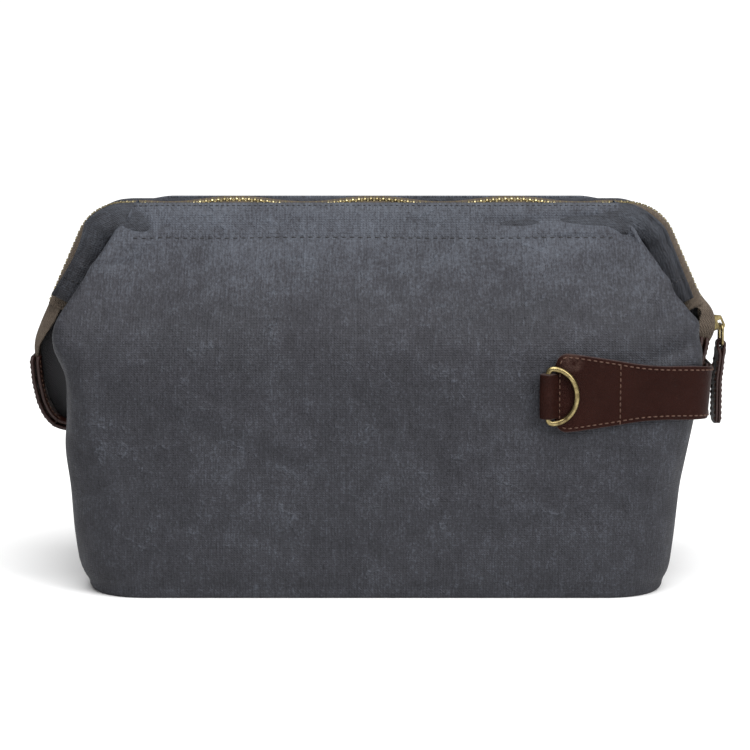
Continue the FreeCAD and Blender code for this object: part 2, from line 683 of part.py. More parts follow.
def loop_tail():
    bar = d_ring_bar()
    return Part.makeBox(LOOP_TAIL_LONG, LOOP_TAIL, LOOP_TALL,
                        vec(bar.x + LOOP_TAIL_START, -HALF_DEPTH - LOOP_TAIL, bar.z - LOOP_TALL / 2))


def d_ring_loop():
    """Leather folded round the ring's bar, its tail sewn under the patch."""
    bar = d_ring_bar()
    foot = bar - vec(0, 0, LOOP_TALL / 2)
    eye = D_RING_WIRE / 2 + FIT
    sleeve = Part.makeCylinder(eye + LOOP_LEATHER, LOOP_TALL, foot)
    web = Part.makeBox(LOOP_WEB_LONG, LOOP_TAIL, LOOP_TALL, vec(bar.x, -HALF_DEPTH - LOOP_TAIL, foot.z))
    loop = sleeve.fuse(web).fuse(loop_tail())
    return loop.cut(Part.makeCylinder(eye, LOOP_TALL, foot)).removeSplitter()


def d_ring():
    """Straight bar and round bow of brass wire."""
    bar = d_ring_bar()
    r = D_RING_WIRE / 2
    top = bar + vec(0, 0, D_RING_HALF)
    foot = bar - vec(0, 0, D_RING_HALF)
    bow = Part.Arc(foot, bar + vec(D_RING_DEEP, 0, 0), top).toShape()
    ring = tube([bow], D_RING_WIRE).fuse(Part.makeCylinder(r, 2 * D_RING_HALF, foot))
    for corner in (foot, top):
        ring = ring.fuse(Part.makeSphere(r, corner))
    return ring.removeSplitter()


# ---- the whole bag ----
def build():
    nodes = {}
    foot_share = STATIONS[0][0]
    nodes["base_panel"] = plate(foot_share, 0.0, foot_share * BODY_HEIGHT, 0.0)
    board_in = CANVAS + LINING + BOARD_GAP
    nodes["base_board"] = plate(foot_share, board_in, BOARD_THICK, foot_share * BODY_HEIGHT)
    for side, name in ((FRONT, "front"), (BACK, "back")):
        nodes[name + "_panel"] = wall(side, 0.0, CANVAS)
        nodes[name + "_lining"] = wall(side, CANVAS + LINING_GAP, CANVAS + LINING_GAP + LINING)
        nodes[name + "_mouth_panel"] = mouth_panel(side)
        nodes[name + "_casing"] = casing(side)
        nodes[name + "_frame_wire"] = frame_wire(side)
        nodes[name + "_wire_caps"] = wire_caps(side)
        nodes[name + "_zip_tape"] = zip_tape(side)
        main, slope = zip_teeth(side)
        nodes[name + "_zip_teeth"] = main
        nodes[name + "_zip_teeth_right"] = slope
    body = envelope()
    for end, name in ((LEFT, "left"), (RIGHT, "right")):
        nodes[name + "_seam_tape"] = seam_tape(end)
        nodes[name + "_tab_outer"] = zip_end_tab(end, True, body)
        nodes[name + "_tab_inner"] = zip_end_tab(end, False, body)
        nodes[name + "_zip_end_tape"] = zip_end_tape(end)
    nodes["slider"] = slider()
    nodes["pull_ring"] = pull_ring()
    nodes["zip_pull"] = zip_pull()
    nodes["handle_outer"] = handle_layer(True)
    nodes["handle_inner"] = handle_layer(False)
    nodes["d_ring_loop"] = d_ring_loop()
    nodes["d_ring"] = d_ring()
    return nodes


os.makedirs("parts", exist_ok=True)
for node_name, node_shape in build().items():
    node_shape.exportStep("parts/" + node_name + ".step")
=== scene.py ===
"""Shaving kit bag: waxed canvas round a sprung-wire zip mouth, with leather handle and tabs.

Shapes are worked out in millimetres in the part's own frame: +X towards the handle end,
-Y to the front, +Z up.  Each section below is one piece, or a group of like pieces.
"""
import math

import bpy
import numpy as np
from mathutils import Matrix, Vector


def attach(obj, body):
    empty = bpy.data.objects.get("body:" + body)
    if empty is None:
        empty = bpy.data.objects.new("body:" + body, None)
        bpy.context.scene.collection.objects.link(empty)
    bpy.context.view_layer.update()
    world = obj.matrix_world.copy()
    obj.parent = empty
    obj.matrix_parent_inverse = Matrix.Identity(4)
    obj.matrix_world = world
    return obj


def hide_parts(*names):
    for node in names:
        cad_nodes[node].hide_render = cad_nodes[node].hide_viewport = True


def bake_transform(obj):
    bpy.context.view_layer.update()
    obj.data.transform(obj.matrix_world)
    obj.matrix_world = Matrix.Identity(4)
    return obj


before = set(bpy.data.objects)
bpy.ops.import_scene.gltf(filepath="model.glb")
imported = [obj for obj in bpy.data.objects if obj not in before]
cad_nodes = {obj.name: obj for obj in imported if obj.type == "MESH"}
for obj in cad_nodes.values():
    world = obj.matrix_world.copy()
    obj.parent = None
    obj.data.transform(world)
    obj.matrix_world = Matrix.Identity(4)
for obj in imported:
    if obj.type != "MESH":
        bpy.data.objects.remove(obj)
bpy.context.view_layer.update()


# ---- table, light and camera ----
# A white table top and a white room: one broad lamp overhead, a softer one in front to the right.
def lamp(name, size, power, place, aim):
    data = bpy.data.lights.new(name, "AREA")
    data.shape, data.size, data.energy = "DISK", size, power
    made = bpy.data.objects.new(name, data)
    bpy.context.scene.collection.objects.link(made)
    made.location = place
    made.rotation_euler = (Vector(aim) - Vector(place)).to_track_quat("-Z", "Y").to_euler()
    return made


bag_middle = (0.0, 0.0, 0.08)
sun_strength, sun_spread = 3.9, math.radians(60.0)
room_glow, seen_glow = 0.26, 1.1        # what the room lights with, and how white it looks
lamp("front_right", 0.8, 15.0, (1.05, -1.15, 0.95), bag_middle)
overhead = lamp("overhead", 1.0, 1.0, (0.08, -0.50, 1.4), bag_middle)
overhead.data.type = "SUN"
overhead.data.energy, overhead.data.angle = sun_strength, sun_spread

room = bpy.data.worlds.new("white_room")
room.use_nodes = True
bpy.context.scene.world = room
sky = room.node_tree.nodes["Background"]
seen = room.node_tree.nodes.new("ShaderNodeLightPath")
level = room.node_tree.nodes.new("ShaderNodeMapRange")
level.inputs["To Min"].default_value = room_glow
level.inputs["To Max"].default_value = seen_glow
room.node_tree.links.new(seen.outputs["Is Camera Ray"], level.inputs["Value"])
room.node_tree.links.new(level.outputs[0], sky.inputs["Strength"])
sky.inputs["Color"].default_value = (1.0, 1.0, 1.0, 1.0)
bpy.context.scene.view_settings.view_transform = "Standard"

camera = bpy.data.cameras.new("camera")
camera.sensor_width, camera.lens = 36.0, 117.2
eye = bpy.data.objects.new("camera", camera)
bpy.context.scene.collection.objects.link(eye)
look_at, stand_off, look_down = Vector((-0.0004, 0.0, 0.0856)), 1.05, math.radians(8.0)
eye.location = look_at + stand_off * Vector((0.0, -math.cos(look_down), math.sin(look_down)))
eye.rotation_euler = (look_at - eye.location).to_track_quat("-Z", "Y").to_euler()
bpy.context.scene.camera = eye


# ---- how a finish and a surface are made ----
# The table top is the first piece that needs a finish: matt white board.
class Value:
    """A shader socket that can be added, multiplied and so on; each sign adds a Math node."""

    def __init__(self, finish, socket):
        self.finish, self.socket = finish, socket

    def math(self, operation, a, b=0.0):
        return self.finish.node("ShaderNodeMath", {"operation": operation}, {0: a, 1: b})

    def __add__(self, other):
        return self.math("ADD", self, other)

    def __sub__(self, other):
        return self.math("SUBTRACT", self, other)

    def __mul__(self, other):
        return self.math("MULTIPLY", self, other)

    def __pow__(self, other):
        return self.math("POWER", self, other)

    __radd__, __rmul__ = __add__, __mul__

    def sine(self):
        return self.math("SINE", self)

    def size(self):
        return self.math("ABSOLUTE", self)

    def stretch(self, low, high, to_low=0.0, to_high=1.0):
        """The value's part from low to high, moved to run from to_low to to_high, and clamped."""
        return self.finish.node("ShaderNodeMapRange", {"clamp": True}, {
            "Value": self, "From Min": low, "From Max": high, "To Min": to_low, "To Max": to_high})


class Finish:
    """A node material that ends in one Principled shader."""

    def __init__(self, name):
        self.material = bpy.data.materials.new(name)
        self.material.use_nodes = True
        self.tree = self.material.node_tree
        self.shader = self.tree.nodes["Principled BSDF"]

    def node(self, kind, settings=None, inputs=None, out=0):
        """A node of that type, its settings put in first and then its sockets' values or links."""
        made = self.tree.nodes.new(kind)
        for key, value in (settings or {}).items():
            if key == "stops":
                ramp = made.color_ramp.elements
                while len(ramp) < len(value):
                    ramp.new(0.5)
                for stop, (place, colour) in zip(ramp, value):
                    stop.position, stop.color = place, colour
            else:
                setattr(made, key, value)
        for key, value in (inputs or {}).items():
            self.feed(made.inputs[key], value)
        return Value(self, made.outputs[out])

    def feed(self, socket, value):
        if isinstance(value, Value):
            self.tree.links.new(value.socket, socket)
        elif isinstance(value, tuple) and len(value) == 3 and socket.type == "RGBA":
            socket.default_value = (*value, 1.0)
        else:
            socket.default_value = value

    def mix(self, share, first, second):
        """Colour `first` at share 0 and `second` at share 1."""
        return self.node("ShaderNodeMix", {"data_type": "RGBA"},
                         {0: share, 6: first, 7: second}, 2)

    def place(self):
        return self.node("ShaderNodeTexCoord", out=3)

    def cut(self):
        """The piece's own pattern: metres across and metres up the cloth before it was sewn."""
        return self.node("ShaderNodeUVMap", {"uv_map": "cut"})

    def split(self, vector):
        made = self.tree.nodes.new("ShaderNodeSeparateXYZ")
        self.feed(made.inputs[0], vector)
        return [Value(self, s) for s in made.outputs]

    def scaled(self, vector, x, y, z=1.0):
        return self.node("ShaderNodeVectorMath", {"operation": "MULTIPLY"}, {0: vector, 1: (x, y, z)})

    def noise(self, vector, scale, detail=3.0, rough=0.5):
        return self.node("ShaderNodeTexNoise", {}, {
            "Vector": vector, "Scale": scale, "Detail": detail, "Roughness": rough})

    def bumped(self, height, depth, under=None):
        inputs = {"Height": height, "Distance": depth, "Strength": 1.0}
        if under is not None:
            inputs["Normal"] = under
        return self.node("ShaderNodeBump", {}, inputs)

    def end(self, **sockets):
        for key, value in sockets.items():
            self.feed(self.shader.inputs[key.replace("_", " ")], value)
        return self.material


def mesh_object(name, points, faces, corners, finish):
    """An object from points in mm, and faces with one pattern place in metres per corner."""
    mesh = bpy.data.meshes.new(name)
    mesh.from_pydata((points / 1000.0).tolist(), [], [list(f) for f in faces])
    layer = mesh.uv_layers.new(name="cut")
    layer.data.foreach_set("uv", np.asarray(corners, np.float32).ravel())
    mesh.polygons.foreach_set("use_smooth", np.ones(len(mesh.polygons), bool))
    mesh.materials.append(finish)
    mesh.update()
    made = bpy.data.objects.new(name, mesh)
    bpy.context.scene.collection.objects.link(made)
    return made


board = Finish("white_board")
board_tone = board.noise(board.place(), 3.0).stretch(0.3, 0.7)
board_white = board.end(Base_Color=board.mix(board_tone, (0.90, 0.90, 0.90), (0.92, 0.92, 0.92)),
                        Roughness=0.9)
half_table = 6000.0
table_corners = np.array([[-1, -1, 0], [1, -1, 0], [1, 1, 0], [-1, 1, 0]], float) * half_table
table = mesh_object("table_top", table_corners, [(0, 1, 2, 3)], np.zeros((4, 2)), board_white)


# ---- canvas body, front and back ----
# Waxed cotton canvas, cut as two large panels that meet in a seam down each end.  Each runs
# from the base up its face, leans in over the mouth's frame and is sewn under its casing.
sides = ((-1, "front"), (1, "back"))
half_deep = 57.0
seam_z, rim_z = 146.4, 160.4            # the stitched line under the frame's casing, and the top edge
canvas_thick = 1.3

# Height, then: ridge's x, face's depth, end seam's x, end seam's depth, ridge's radius.
body_rows = np.array([
    (0.0, 117.0, 51.5, 119.0, 0.0, 23.0),
    (3.0, 120.6, 54.2, 122.6, 0.0, 24.0),
    (9.0, 123.6, 56.2, 124.9, 0.0, 24.0),
    (25.0, 125.4, 57.0, 127.0, 0.0, 23.0),
    (45.0, 127.0, 57.0, 128.6, 0.0, 22.0),
    (60.0, 129.3, 57.0, 129.2, 0.0, 20.0),
    (77.0, 132.0, 57.0, 128.0, 0.0, 17.0),
    (91.5, 133.8, 56.8, 124.0, 0.0, 13.0),
    (103.0, 134.2, 55.0, 120.0, 0.0, 9.0),
    (112.0, 133.0, 50.6, 118.0, 0.0, 6.0),
    (118.0, 129.9, 46.0, 119.0, 5.0, 4.0),
    (122.0, 126.6, 42.4, 121.0, 10.5, 3.0),
    (129.0, 122.4, 35.6, 119.2, 11.4, 2.6),
    (136.0, 118.2, 28.4, 116.0, 11.4, 2.6),
    (141.0, 114.8, 22.8, 113.4, 11.4, 2.6),
    (145.0, 112.2, 18.0, 109.8, 11.4, 2.4),
    (148.0, 110.4, 16.2, 107.8, 11.2, 2.2),
    (151.5, 108.2, 14.9, 105.6, 10.4, 2.2),
    (154.5, 106.6, 13.9, 104.0, 9.4, 2.2),
    (157.5, 104.8, 12.5, 102.2, 8.0, 2.2),
    (159.5, 103.4, 11.0, 100.8, 6.6, 2.2),
    (160.6, 102.0, 9.3, 99.4, 5.4, 2.2),
])


def eased(z, column):
    """Straight lines between the rows' values, averaged over a window that narrows at the rim."""
    near = np.clip((166.0 - z) / 16.0, 0.3, 1.0)
    heights, values = body_rows[:, 0], body_rows[:, column]
    return np.mean([np.interp(z + step * near, heights, values) for step in np.linspace(-5, 5, 11)], axis=0)


def hill(x, z, at_x, at_z, wide, tall, turn):
    """A smooth rise of height 1: a bell curve of two widths in mm, turned in the face's plane."""
    c, s = math.cos(math.radians(turn)), math.sin(math.radians(turn))
    a, b = (x - at_x) * c + (z - at_z) * s, (z - at_z) * c - (x - at_x) * s
    return np.exp(-(a / wide) ** 2 - (b / tall) ** 2)


face_end, arc_end = 0.62, 0.80          # shares of half a level outline


def outline(z, across):
    """Half of the body's level outline at heights z: a line from the end seam that touches the
    ridge's arc, the arc, and the straight face.  `across` runs from -1, left seam, to 1, right."""
    ridge, deep, seam, start, r = (eased(z, c) for c in range(1, 6))
    cx, cy = ridge - r, deep - r
    reach = np.hypot(seam - cx, start - cy)
    theta = np.arctan2(start - cy, seam - cx) + np.arccos(np.clip(r / reach, -1, 1))
    touch_x, touch_y = cx + r * np.cos(theta), cy + r * np.sin(theta)
    half = np.abs(across)
    on_face = np.clip(half / face_end, 0, 1)
    on_arc = np.clip((half - face_end) / (arc_end - face_end), 0, 1)
    on_end = np.clip((half - arc_end) / (1 - arc_end), 0, 1)
    angle = np.pi / 2 + (theta - np.pi / 2) * on_arc
    past_face_x = np.where(half < arc_end, cx + r * np.cos(angle), touch_x + (seam - touch_x) * on_end)
    past_face_y = np.where(half < arc_end, cy + r * np.sin(angle), touch_y + (start - touch_y) * on_end)
    x = np.where(half < face_end, cx * on_face, past_face_x)
    y = np.where(half < face_end, deep, past_face_y)
    return np.sign(across) * x, y


def normals(grid):
    """Unit normals of a grid of points: the cross product of its two directions."""
    made = np.cross(np.gradient(grid, axis=0), np.gradient(grid, axis=1))
    return made / np.maximum(np.linalg.norm(made, axis=2, keepdims=True), 1e-9)


def run_length(grid, axis):
    """Distance along a grid's rows or columns, in metres, starting at 0."""
    steps = np.linalg.norm(np.diff(grid, axis=axis), axis=2)
    first = np.zeros_like(np.take(steps, [0], axis=axis))
    return np.concatenate([first, np.cumsum(steps, axis=axis)], axis=axis) / 1000.0


def inside_out(points, quads):
    """Whether the quads face inward: their signed volume, a sum of triple products, is negative."""
    a, b, c, d = (points[quads[:, q]] for q in range(4))
    return np.sum(a * np.cross(b, c)) + np.sum(a * np.cross(c, d)) < 0


def surface(name, grid, finish, uv=None):
    """A closed mesh from loops of points: quads between neighbouring loops, and each end loop
    closed by a ladder of quads."""
    n, m = grid.shape[:2]
    if uv is None:
        wide = np.concatenate([grid, grid[:, :1]], axis=1)
        uv = np.stack([run_length(wide, 1), run_length(wide, 0)], -1)
    i, j = (k.ravel() for k in np.meshgrid(np.arange(n - 1), np.arange(m), indexing="ij"))
    k = (j + 1) % m
    faces = np.stack([i * m + j, i * m + k, (i + 1) * m + k, (i + 1) * m + j], -1)
    corners = np.stack([uv[i, j], uv[i, j + 1], uv[i + 1, j + 1], uv[i + 1, j]], 1)
    rung = np.arange(m // 2 - 1)
    near = np.stack([rung, m - 1 - rung, m - 2 - rung, rung + 1], -1)
    far = near[:, ::-1]
    faces = np.concatenate([faces, near, far + (n - 1) * m])
    corners = np.concatenate([corners, uv[0][near], uv[-1][far]])
    points = grid.reshape(-1, 3)
    if inside_out(points, faces):
        faces, corners = faces[:, ::-1], corners[:, ::-1]
    return mesh_object(name, points, faces, corners.reshape(-1, 2), finish)


def shell(name, grid, out, thick, finish, uv=None):
    """A sheet with thickness: the grid, and the grid moved `thick` against its outward normals."""
    inner = grid - out * thick
    loops = np.concatenate([grid, inner[:, ::-1]], axis=1)
    if uv is None:
        uv = np.stack([run_length(grid, 1), run_length(grid, 0)], -1)
    uv = np.concatenate([uv, uv[:, ::-1], uv[:, :1]], axis=1)
    return surface(name, loops, finish, uv)


# Folds in the front canvas: the middle's x and z, half widths along and across the fold, its turn
# in degrees, and how far it stands out.
front_folds = [
    (90, 153.4, 13, 2.6, -3, -2.2), (105, 148.6, 8, 2.4, -42, -2.6),    # under the frame, right corner
    (84, 148.8, 12, 2.2, 4, 0.9), (62, 152.6, 14, 2.6, 2, -1.1),
    (-101, 151.6, 9, 2.8, -28, -2.6), (-93, 147.2, 8, 2.6, -10, 1.2),   # left corner
    (-103, 141, 6, 2.6, 18, -2.0), (-112, 135.4, 8, 2.2, 8, 1.0),
    (-134, 90, 8.0, 12, 12, -5.0), (-125, 96, 5, 4, 30, -1.5),          # dent beside the left tab
    (-131, 74, 5.0, 10, 8, -2.4), (-118.5, 84, 2.6, 18, 5, 1.6),
    (122, 103.0, 15, 3.2, 22, -1.6), (122, 110.5, 17, 3.4, 18, 1.5),    # above the handle
    (114, 120, 13, 3.4, 24, -1.4), (116, 127, 10, 2.8, 30, 1.0),
    (-118, 58, 7, 20, -8, -1.2), (-106, 40, 7, 24, -14, 1.0),           # low on the face
    (60, 30, 40, 6, 14, -1.1), (40, 43, 42, 6, 12, 1.0),
    (-40, 24, 44, 6, -8, -1.0), (112, 52, 7, 22, 12, 0.9),
    (-60, 74, 46, 5, -24, 0.8), (-52, 62, 44, 5, -22, -0.9),
]


def creases(x, z, side):
    """How far the canvas stands out, in mm: two sets of broad waves, a groove along the frame's
    stitches, a flattened rim by the corners, and in front the folds above."""
    wave = 0.5 * np.sin(x / 31.0 + 0.6 * np.sin(z / 23.0) + side) * np.sin(z / 27.0 + 0.4)
    wave += 0.35 * np.sin(x / 17.0 - z / 19.0 + 2.0 * side)
    wave -= 0.5 * np.exp(-((z - seam_z) / 0.9) ** 2) * (np.abs(x) < 103)
    wave -= 1.3 * np.clip((np.abs(x) - 88) / 14, 0, 1) * np.clip((z - 149) / 6, 0, 1)
    if side > 0:
        return wave + 0.5 * np.sin(x / 24.0 + z / 30.0)
    return wave + sum(stand * hill(x, z, *fold) for *fold, stand in front_folds)


warp_pitch, weft_pitch = 0.00118, 0.00095
canvas_tones = [(0.12, (0.0120, 0.0120, 0.0146)), (0.5, (0.0275, 0.0280, 0.0340)),
                (1.0, (0.078, 0.087, 0.106))]


def waxed(name, shade):
    """Waxed canvas: flecked threads in a fine plain weave, thin pale marks where the wax has
    cracked, and a painted highlight: paler colour towards the rim, standing in for the light from above.
    `shade` multiplies its colour; below 1 it paints shade."""
    canvas = Finish(name)
    cloth = canvas.cut()
    warp, weft, _ = canvas.split(cloth)
    wax = canvas.noise(canvas.place(), 30.0, 5.0, 0.62)
    rub = canvas.noise(canvas.place(), 120.0, 4.0, 0.6)
    fold = canvas.noise(canvas.scaled(canvas.place(), 16.0, 16.0, 24.0), 1.0, 5.0, 0.55)
    mark = (fold - 0.5).size().stretch(0.010, 0.0) * rub.stretch(0.45, 0.6)
    thread = canvas.noise(canvas.scaled(cloth, 1500.0, 420.0), 1.0, 2.0, 0.55)
    slub = canvas.noise(canvas.scaled(cloth, 620.0, 90.0), 1.0, 2.0, 0.5)
    fleck = canvas.noise(canvas.scaled(cloth, 950.0, 950.0), 1.0, 3.0, 0.65)
    # painted highlight: the canvas grows paler with height, standing in for the light from above on the
    # upper face
    height = canvas.split(canvas.place())[2]
    rib = (warp * (2 * math.pi / warp_pitch) + slub * 5.0).sine() * 0.5 + 0.5
    pick = (weft * (2 * math.pi / weft_pitch) + thread * 5.0).sine() * 0.5 + 0.5
    knot = rib * pick
    pale = (wax.stretch(0.36, 0.66) * 0.10 + rub.stretch(0.35, 0.65) * 0.11 + mark * 0.14
            + thread.stretch(0.32, 0.68) * 0.2 + slub.stretch(0.35, 0.7) * 0.14
            + fleck.stretch(0.30, 0.70) * 0.34 + knot * 0.05 + height.stretch(0.116, 0.152) * 0.30)
    tone = canvas.node("ShaderNodeValToRGB", {"stops": [
        (place, (*(shade * c for c in colour), 1.0)) for place, colour in canvas_tones]}, {"Fac": pale})
    weave = canvas.bumped(knot * 0.6 + thread * 0.8 + fleck * 0.6, 0.00024)
    return canvas.end(Base_Color=tone, Roughness=wax.stretch(0.3, 0.7, 0.72, 0.6), Specular_IOR_Level=0.22,
                      Normal=canvas.bumped(wax + rub * 0.6 + mark * 0.3, 0.0010, weave))


waxed_canvas = waxed("waxed_canvas", 1.0)
levels = np.concatenate([np.linspace(0.0, 12.0, 16)[:-1], np.linspace(12.0, 100.0, 50)[:-1],
                         np.linspace(100.0, rim_z, 92)])
columns = 221
spread = np.linspace(-1, 1, columns) * np.pi / 2 * 0.55
body_z, body_u = np.meshgrid(levels, np.sin(spread) / math.sin(np.pi / 2 * 0.55), indexing="ij")


def body_side(side, z=body_z, u=body_u):
    """Outer face of one canvas panel: the level outlines, the creases and the rolled foot.  The
    back's rim stands higher, and falls to the front's height towards the corners."""
    x, y = outline(z, u)
    grid = np.stack([x, side * y, z], -1)
    out = normals(grid) * side
    hold = np.clip((z - 2.0) / 12.0, 0, 1) * np.clip((rim_z - z) / 3.0, 0, 1)
    hold *= np.clip((1.0 - np.abs(u)) / 0.12, 0, 1)
    stand = creases(x, z, side) * hold + 1.1 * np.exp(-((z - 1.8) / 1.9) ** 2)
    grid = grid + out * stand[..., None]
    if side > 0:
        rim = np.clip((z - 152.0) / 8.4, 0, 1) ** 2
        inward = np.clip((101.0 - np.abs(x)) / 14.0, 0, 1)
        grid[..., 2] += 1.7 * rim * inward ** 2 * (3.0 - 2.0 * inward)
    return grid, out


for side, name in sides:
    grid, out = body_side(side)
    across = run_length(grid, 1)
    middle = columns // 2
    cut = np.stack([across - across[:, middle:middle + 1], body_z / 1000.0], -1)
    body = shell(name + "_canvas", grid, out, canvas_thick, waxed_canvas, cut)
    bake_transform(body)
    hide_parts(name + "_panel", name + "_mouth_panel")


# ---- lining ----
# A plain black cotton lining follows the canvas inside, from near the base to under the frame.
lining = Finish("cotton_lining")
lining_u, lining_v, _ = lining.split(lining.cut())
lining_weave = (lining_u * 7000.0).sine() * (lining_v * 7000.0).sine()
lining_mottle = lining.noise(lining.place(), 60.0)
black_cotton = lining.end(
    Base_Color=lining.mix(lining_mottle, (0.012, 0.012, 0.014), (0.026, 0.025, 0.028)),
    Roughness=0.85, Normal=lining.bumped(lining_weave, 0.0002))
lining_gap, lining_thick = 2.2, 0.6
lining_levels = slice(10, 132, 2)
for side, name in sides:
    grid, out = (v[lining_levels, ::2] for v in body_side(side))
    piece = shell(name + "_cotton", grid - out * lining_gap, out, lining_thick, black_cotton)
    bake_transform(piece)
    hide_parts(name + "_lining")


# ---- frame casings ----
# The canvas wraps each spring wire in a sleeve, sewn below it; the sleeve is broad and leaning
# along the top, and a flat puffed strip with a squared, stitched end down each slope.
zip_top, lean = 159.0, math.radians(24.0)
zip_corner_x, zip_corner_r = 120.56, 20.0


def mouth_line(foot_z, count, along=None):
    """Zip line from the left foot over the top to the right foot: x, z, unit vectors to the inside,
    and distances along it.  The heading turns steadily from each slope to the level top."""
    turn = math.pi / 2 - lean
    tangent = zip_corner_r * math.tan(turn / 2)
    slope = (zip_top - foot_z) / math.cos(lean) - tangent
    level_run = 2 * (zip_corner_x - tangent)
    knots = np.cumsum([0.0, slope, zip_corner_r * turn, level_run, zip_corner_r * turn, slope])
    s = np.linspace(0, knots[-1], 6001)
    heading = np.interp(s, knots, [turn, turn, 0.0, 0.0, -turn, -turn])
    x = np.concatenate([[0.0], np.cumsum(np.cos((heading[1:] + heading[:-1]) / 2) * np.diff(s))])
    z = np.concatenate([[0.0], np.cumsum(np.sin((heading[1:] + heading[:-1]) / 2) * np.diff(s))])
    x -= x[-1] / 2
    z += foot_z
    at = np.linspace(0, knots[-1], count) if along is None else along
    x, z, heading = (np.interp(at, s, v) for v in (x, z, heading))
    return x, z, np.sin(heading), -np.cos(heading), at


def top_share(x, low=88.0, high=112.0):
    """1 along the top of the mouth, easing to 0 on the slopes."""
    t = np.clip((high - np.abs(x)) / (high - low), 0, 1)
    return t * t * (3 - 2 * t)


def zip_wave(x):
    """How far the zip rides up between its sewn points, in mm."""
    return top_share(x, 90, 116) * (0.45 + 1.25 * np.cos(2 * math.pi * (x + 1.0) / 58.5)) + 0.1


def zip_tilt(x, d, side):
    """How far a point `d` from the mid-plane rises, in mm: the zip leans towards the front."""
    return side * d * 0.28 * top_share(x, 94, 114)[:, None]


def off_zip(line, side, d, o, rise, t=0.0):
    """Points beside the zip line: `d` from the mid-plane, `o` to its inside, `t` along it, raised."""
    x, z, in_x, in_z = (v[:, None] for v in line[:4])
    return np.stack([x + in_x * o - in_z * t, side * d + 0 * x, z + in_z * o + in_x * t + rise], -1)


def squared(turn, wide_power, tall_power):
    """A circle's cosines and sines raised to powers under 1, which squares it off."""
    c, s = np.cos(turn), np.sin(turn)
    return np.sign(c) * np.abs(c) ** wide_power, np.sign(s) * np.abs(s) ** tall_power


casing_foot_z, casing_d = 121.3, 9.4    # its foot's height, and its middle from the mid-plane
wire_in, wire_bulge, edge_stitch_in = 7.0, 0.9, 1.9
# painted shade: the sleeve is the body's canvas at 0.62 of its colour, standing in for the shade along the
# casing and its creases
canvas_painted_shade = waxed("waxed_canvas_sleeve_painted_shade", 0.62)


def casing_loops(side):
    """A rounded box carried along the zip line: its middle, half sizes and lean ease from the
    slopes' values to the top's.  It puffs, covers the wire, and dips at its edge stitches."""
    line = mouth_line(casing_foot_z, 300)
    x, z, _, _, at = line
    top = top_share(x, 103.0, 121.0)[:, None]
    box_c, box_s = squared(np.linspace(0, 2 * np.pi, 40, endpoint=False)[None, :], 0.62, 0.75)
    down = np.clip((152.0 - z) / 30.0, 0, 1)
    bare = np.where(x < 0, 2.4 * np.sin(np.pi * down ** 0.7) - 1.2, 1.0 + 0.9 * down)[:, None]
    outer_o = (bare + 0.8) * (1 - top) - 1.3 * top
    inner_o = (13.2 + 0.8 * down[:, None]) * (1 - top) + 12.4 * top
    middle, half_o = (outer_o + inner_o) / 2, (inner_o - outer_o) / 2
    from_end = np.minimum(at, at[-1] - at)[:, None]
    half_d = (2.6 + 0.6 * top) * (0.72 + 0.28 * np.clip(from_end / 3.0, 0, 1) ** 0.5)
    o = middle - half_o * box_c
    puff = 0.45 * np.sin(at / 5.3 + 0.8 * np.sin(at / 3.1))[:, None]
    bulge = wire_bulge * np.exp(-((o - wire_in) / 2.2) ** 2)
    pinch = 0.9 * np.exp(-((o - outer_o - edge_stitch_in) / 0.7) ** 2)
    over_wire = top * np.clip((o - 4.0) / 3.0, 0, 1) * np.clip(-box_s, 0, 1)
    d = casing_d + 0.5 * top + (0.02 + 0.40 * top) * (o - middle) + half_d * box_s
    d = d + (puff + bulge - pinch) * (box_s > 0) * (1 - top) - over_wire
    return off_zip(line, side, d, o, (0.9 if side > 0 else 0.0) * top)


for side, name in sides:
    sleeve = surface(name + "_sleeve", casing_loops(side), canvas_painted_shade)
    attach(sleeve, name + "_mouth")
    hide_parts(name + "_casing")


# ---- zip tape ----
# Brown herringbone tape, sewn to the inner side of each casing and bent flat to the teeth.
tape = Finish("herringbone_tape")
tape_u, tape_v, _ = tape.split(tape.cut())
chevron = ((tape_u * 5200.0) + (tape_v * 2600.0).sine() * 2.2).sine() * 0.5 + 0.5
tape_mottle = tape.noise(tape.place(), 150.0, 3.0)
tape_fibre = tape.noise(tape.place(), 2600.0, 2.0)
tape_share = chevron * 0.25 + tape_mottle.stretch(0.3, 0.7) * 0.35 + tape_fibre.stretch(0.3, 0.7) * 0.4
herringbone = tape.end(
    Base_Color=tape.mix(tape_share, (0.034, 0.024, 0.016), (0.118, 0.088, 0.062)),
    Roughness=0.8, Normal=tape.bumped(chevron + tape_fibre, 0.0002))
tape_foot_z, tape_half = 117.0, 0.35


def tape_loops(side):
    """A thin bent strip carried along the zip line: level from the teeth, then down inside."""
    line = mouth_line(tape_foot_z, 360)
    middle_d = np.array([1.7, 3.4, 5.0, 5.9, 6.3, 6.4, 6.4])
    middle_o = np.array([-0.1, -0.1, 0.1, 0.7, 2.0, 4.6, 7.4])
    half_d = np.array([0, 0, 0.1, 0.3, tape_half, tape_half, tape_half])
    d = np.concatenate([middle_d + half_d, (middle_d - half_d)[::-1]])[None, :]
    o = np.concatenate([middle_o - tape_half, (middle_o + tape_half)[::-1]])[None, :]
    rise = zip_wave(line[0])[:, None] + zip_tilt(line[0], d, side)
    return off_zip(line, side, d, o, rise * np.clip((6.0 - np.abs(o)) / 6.0, 0, 1))


for side, name in sides:
    mouth_tape = surface(name + "_tape", tape_loops(side), herringbone)
    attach(mouth_tape, name + "_mouth")
    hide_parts(name + "_zip_tape")


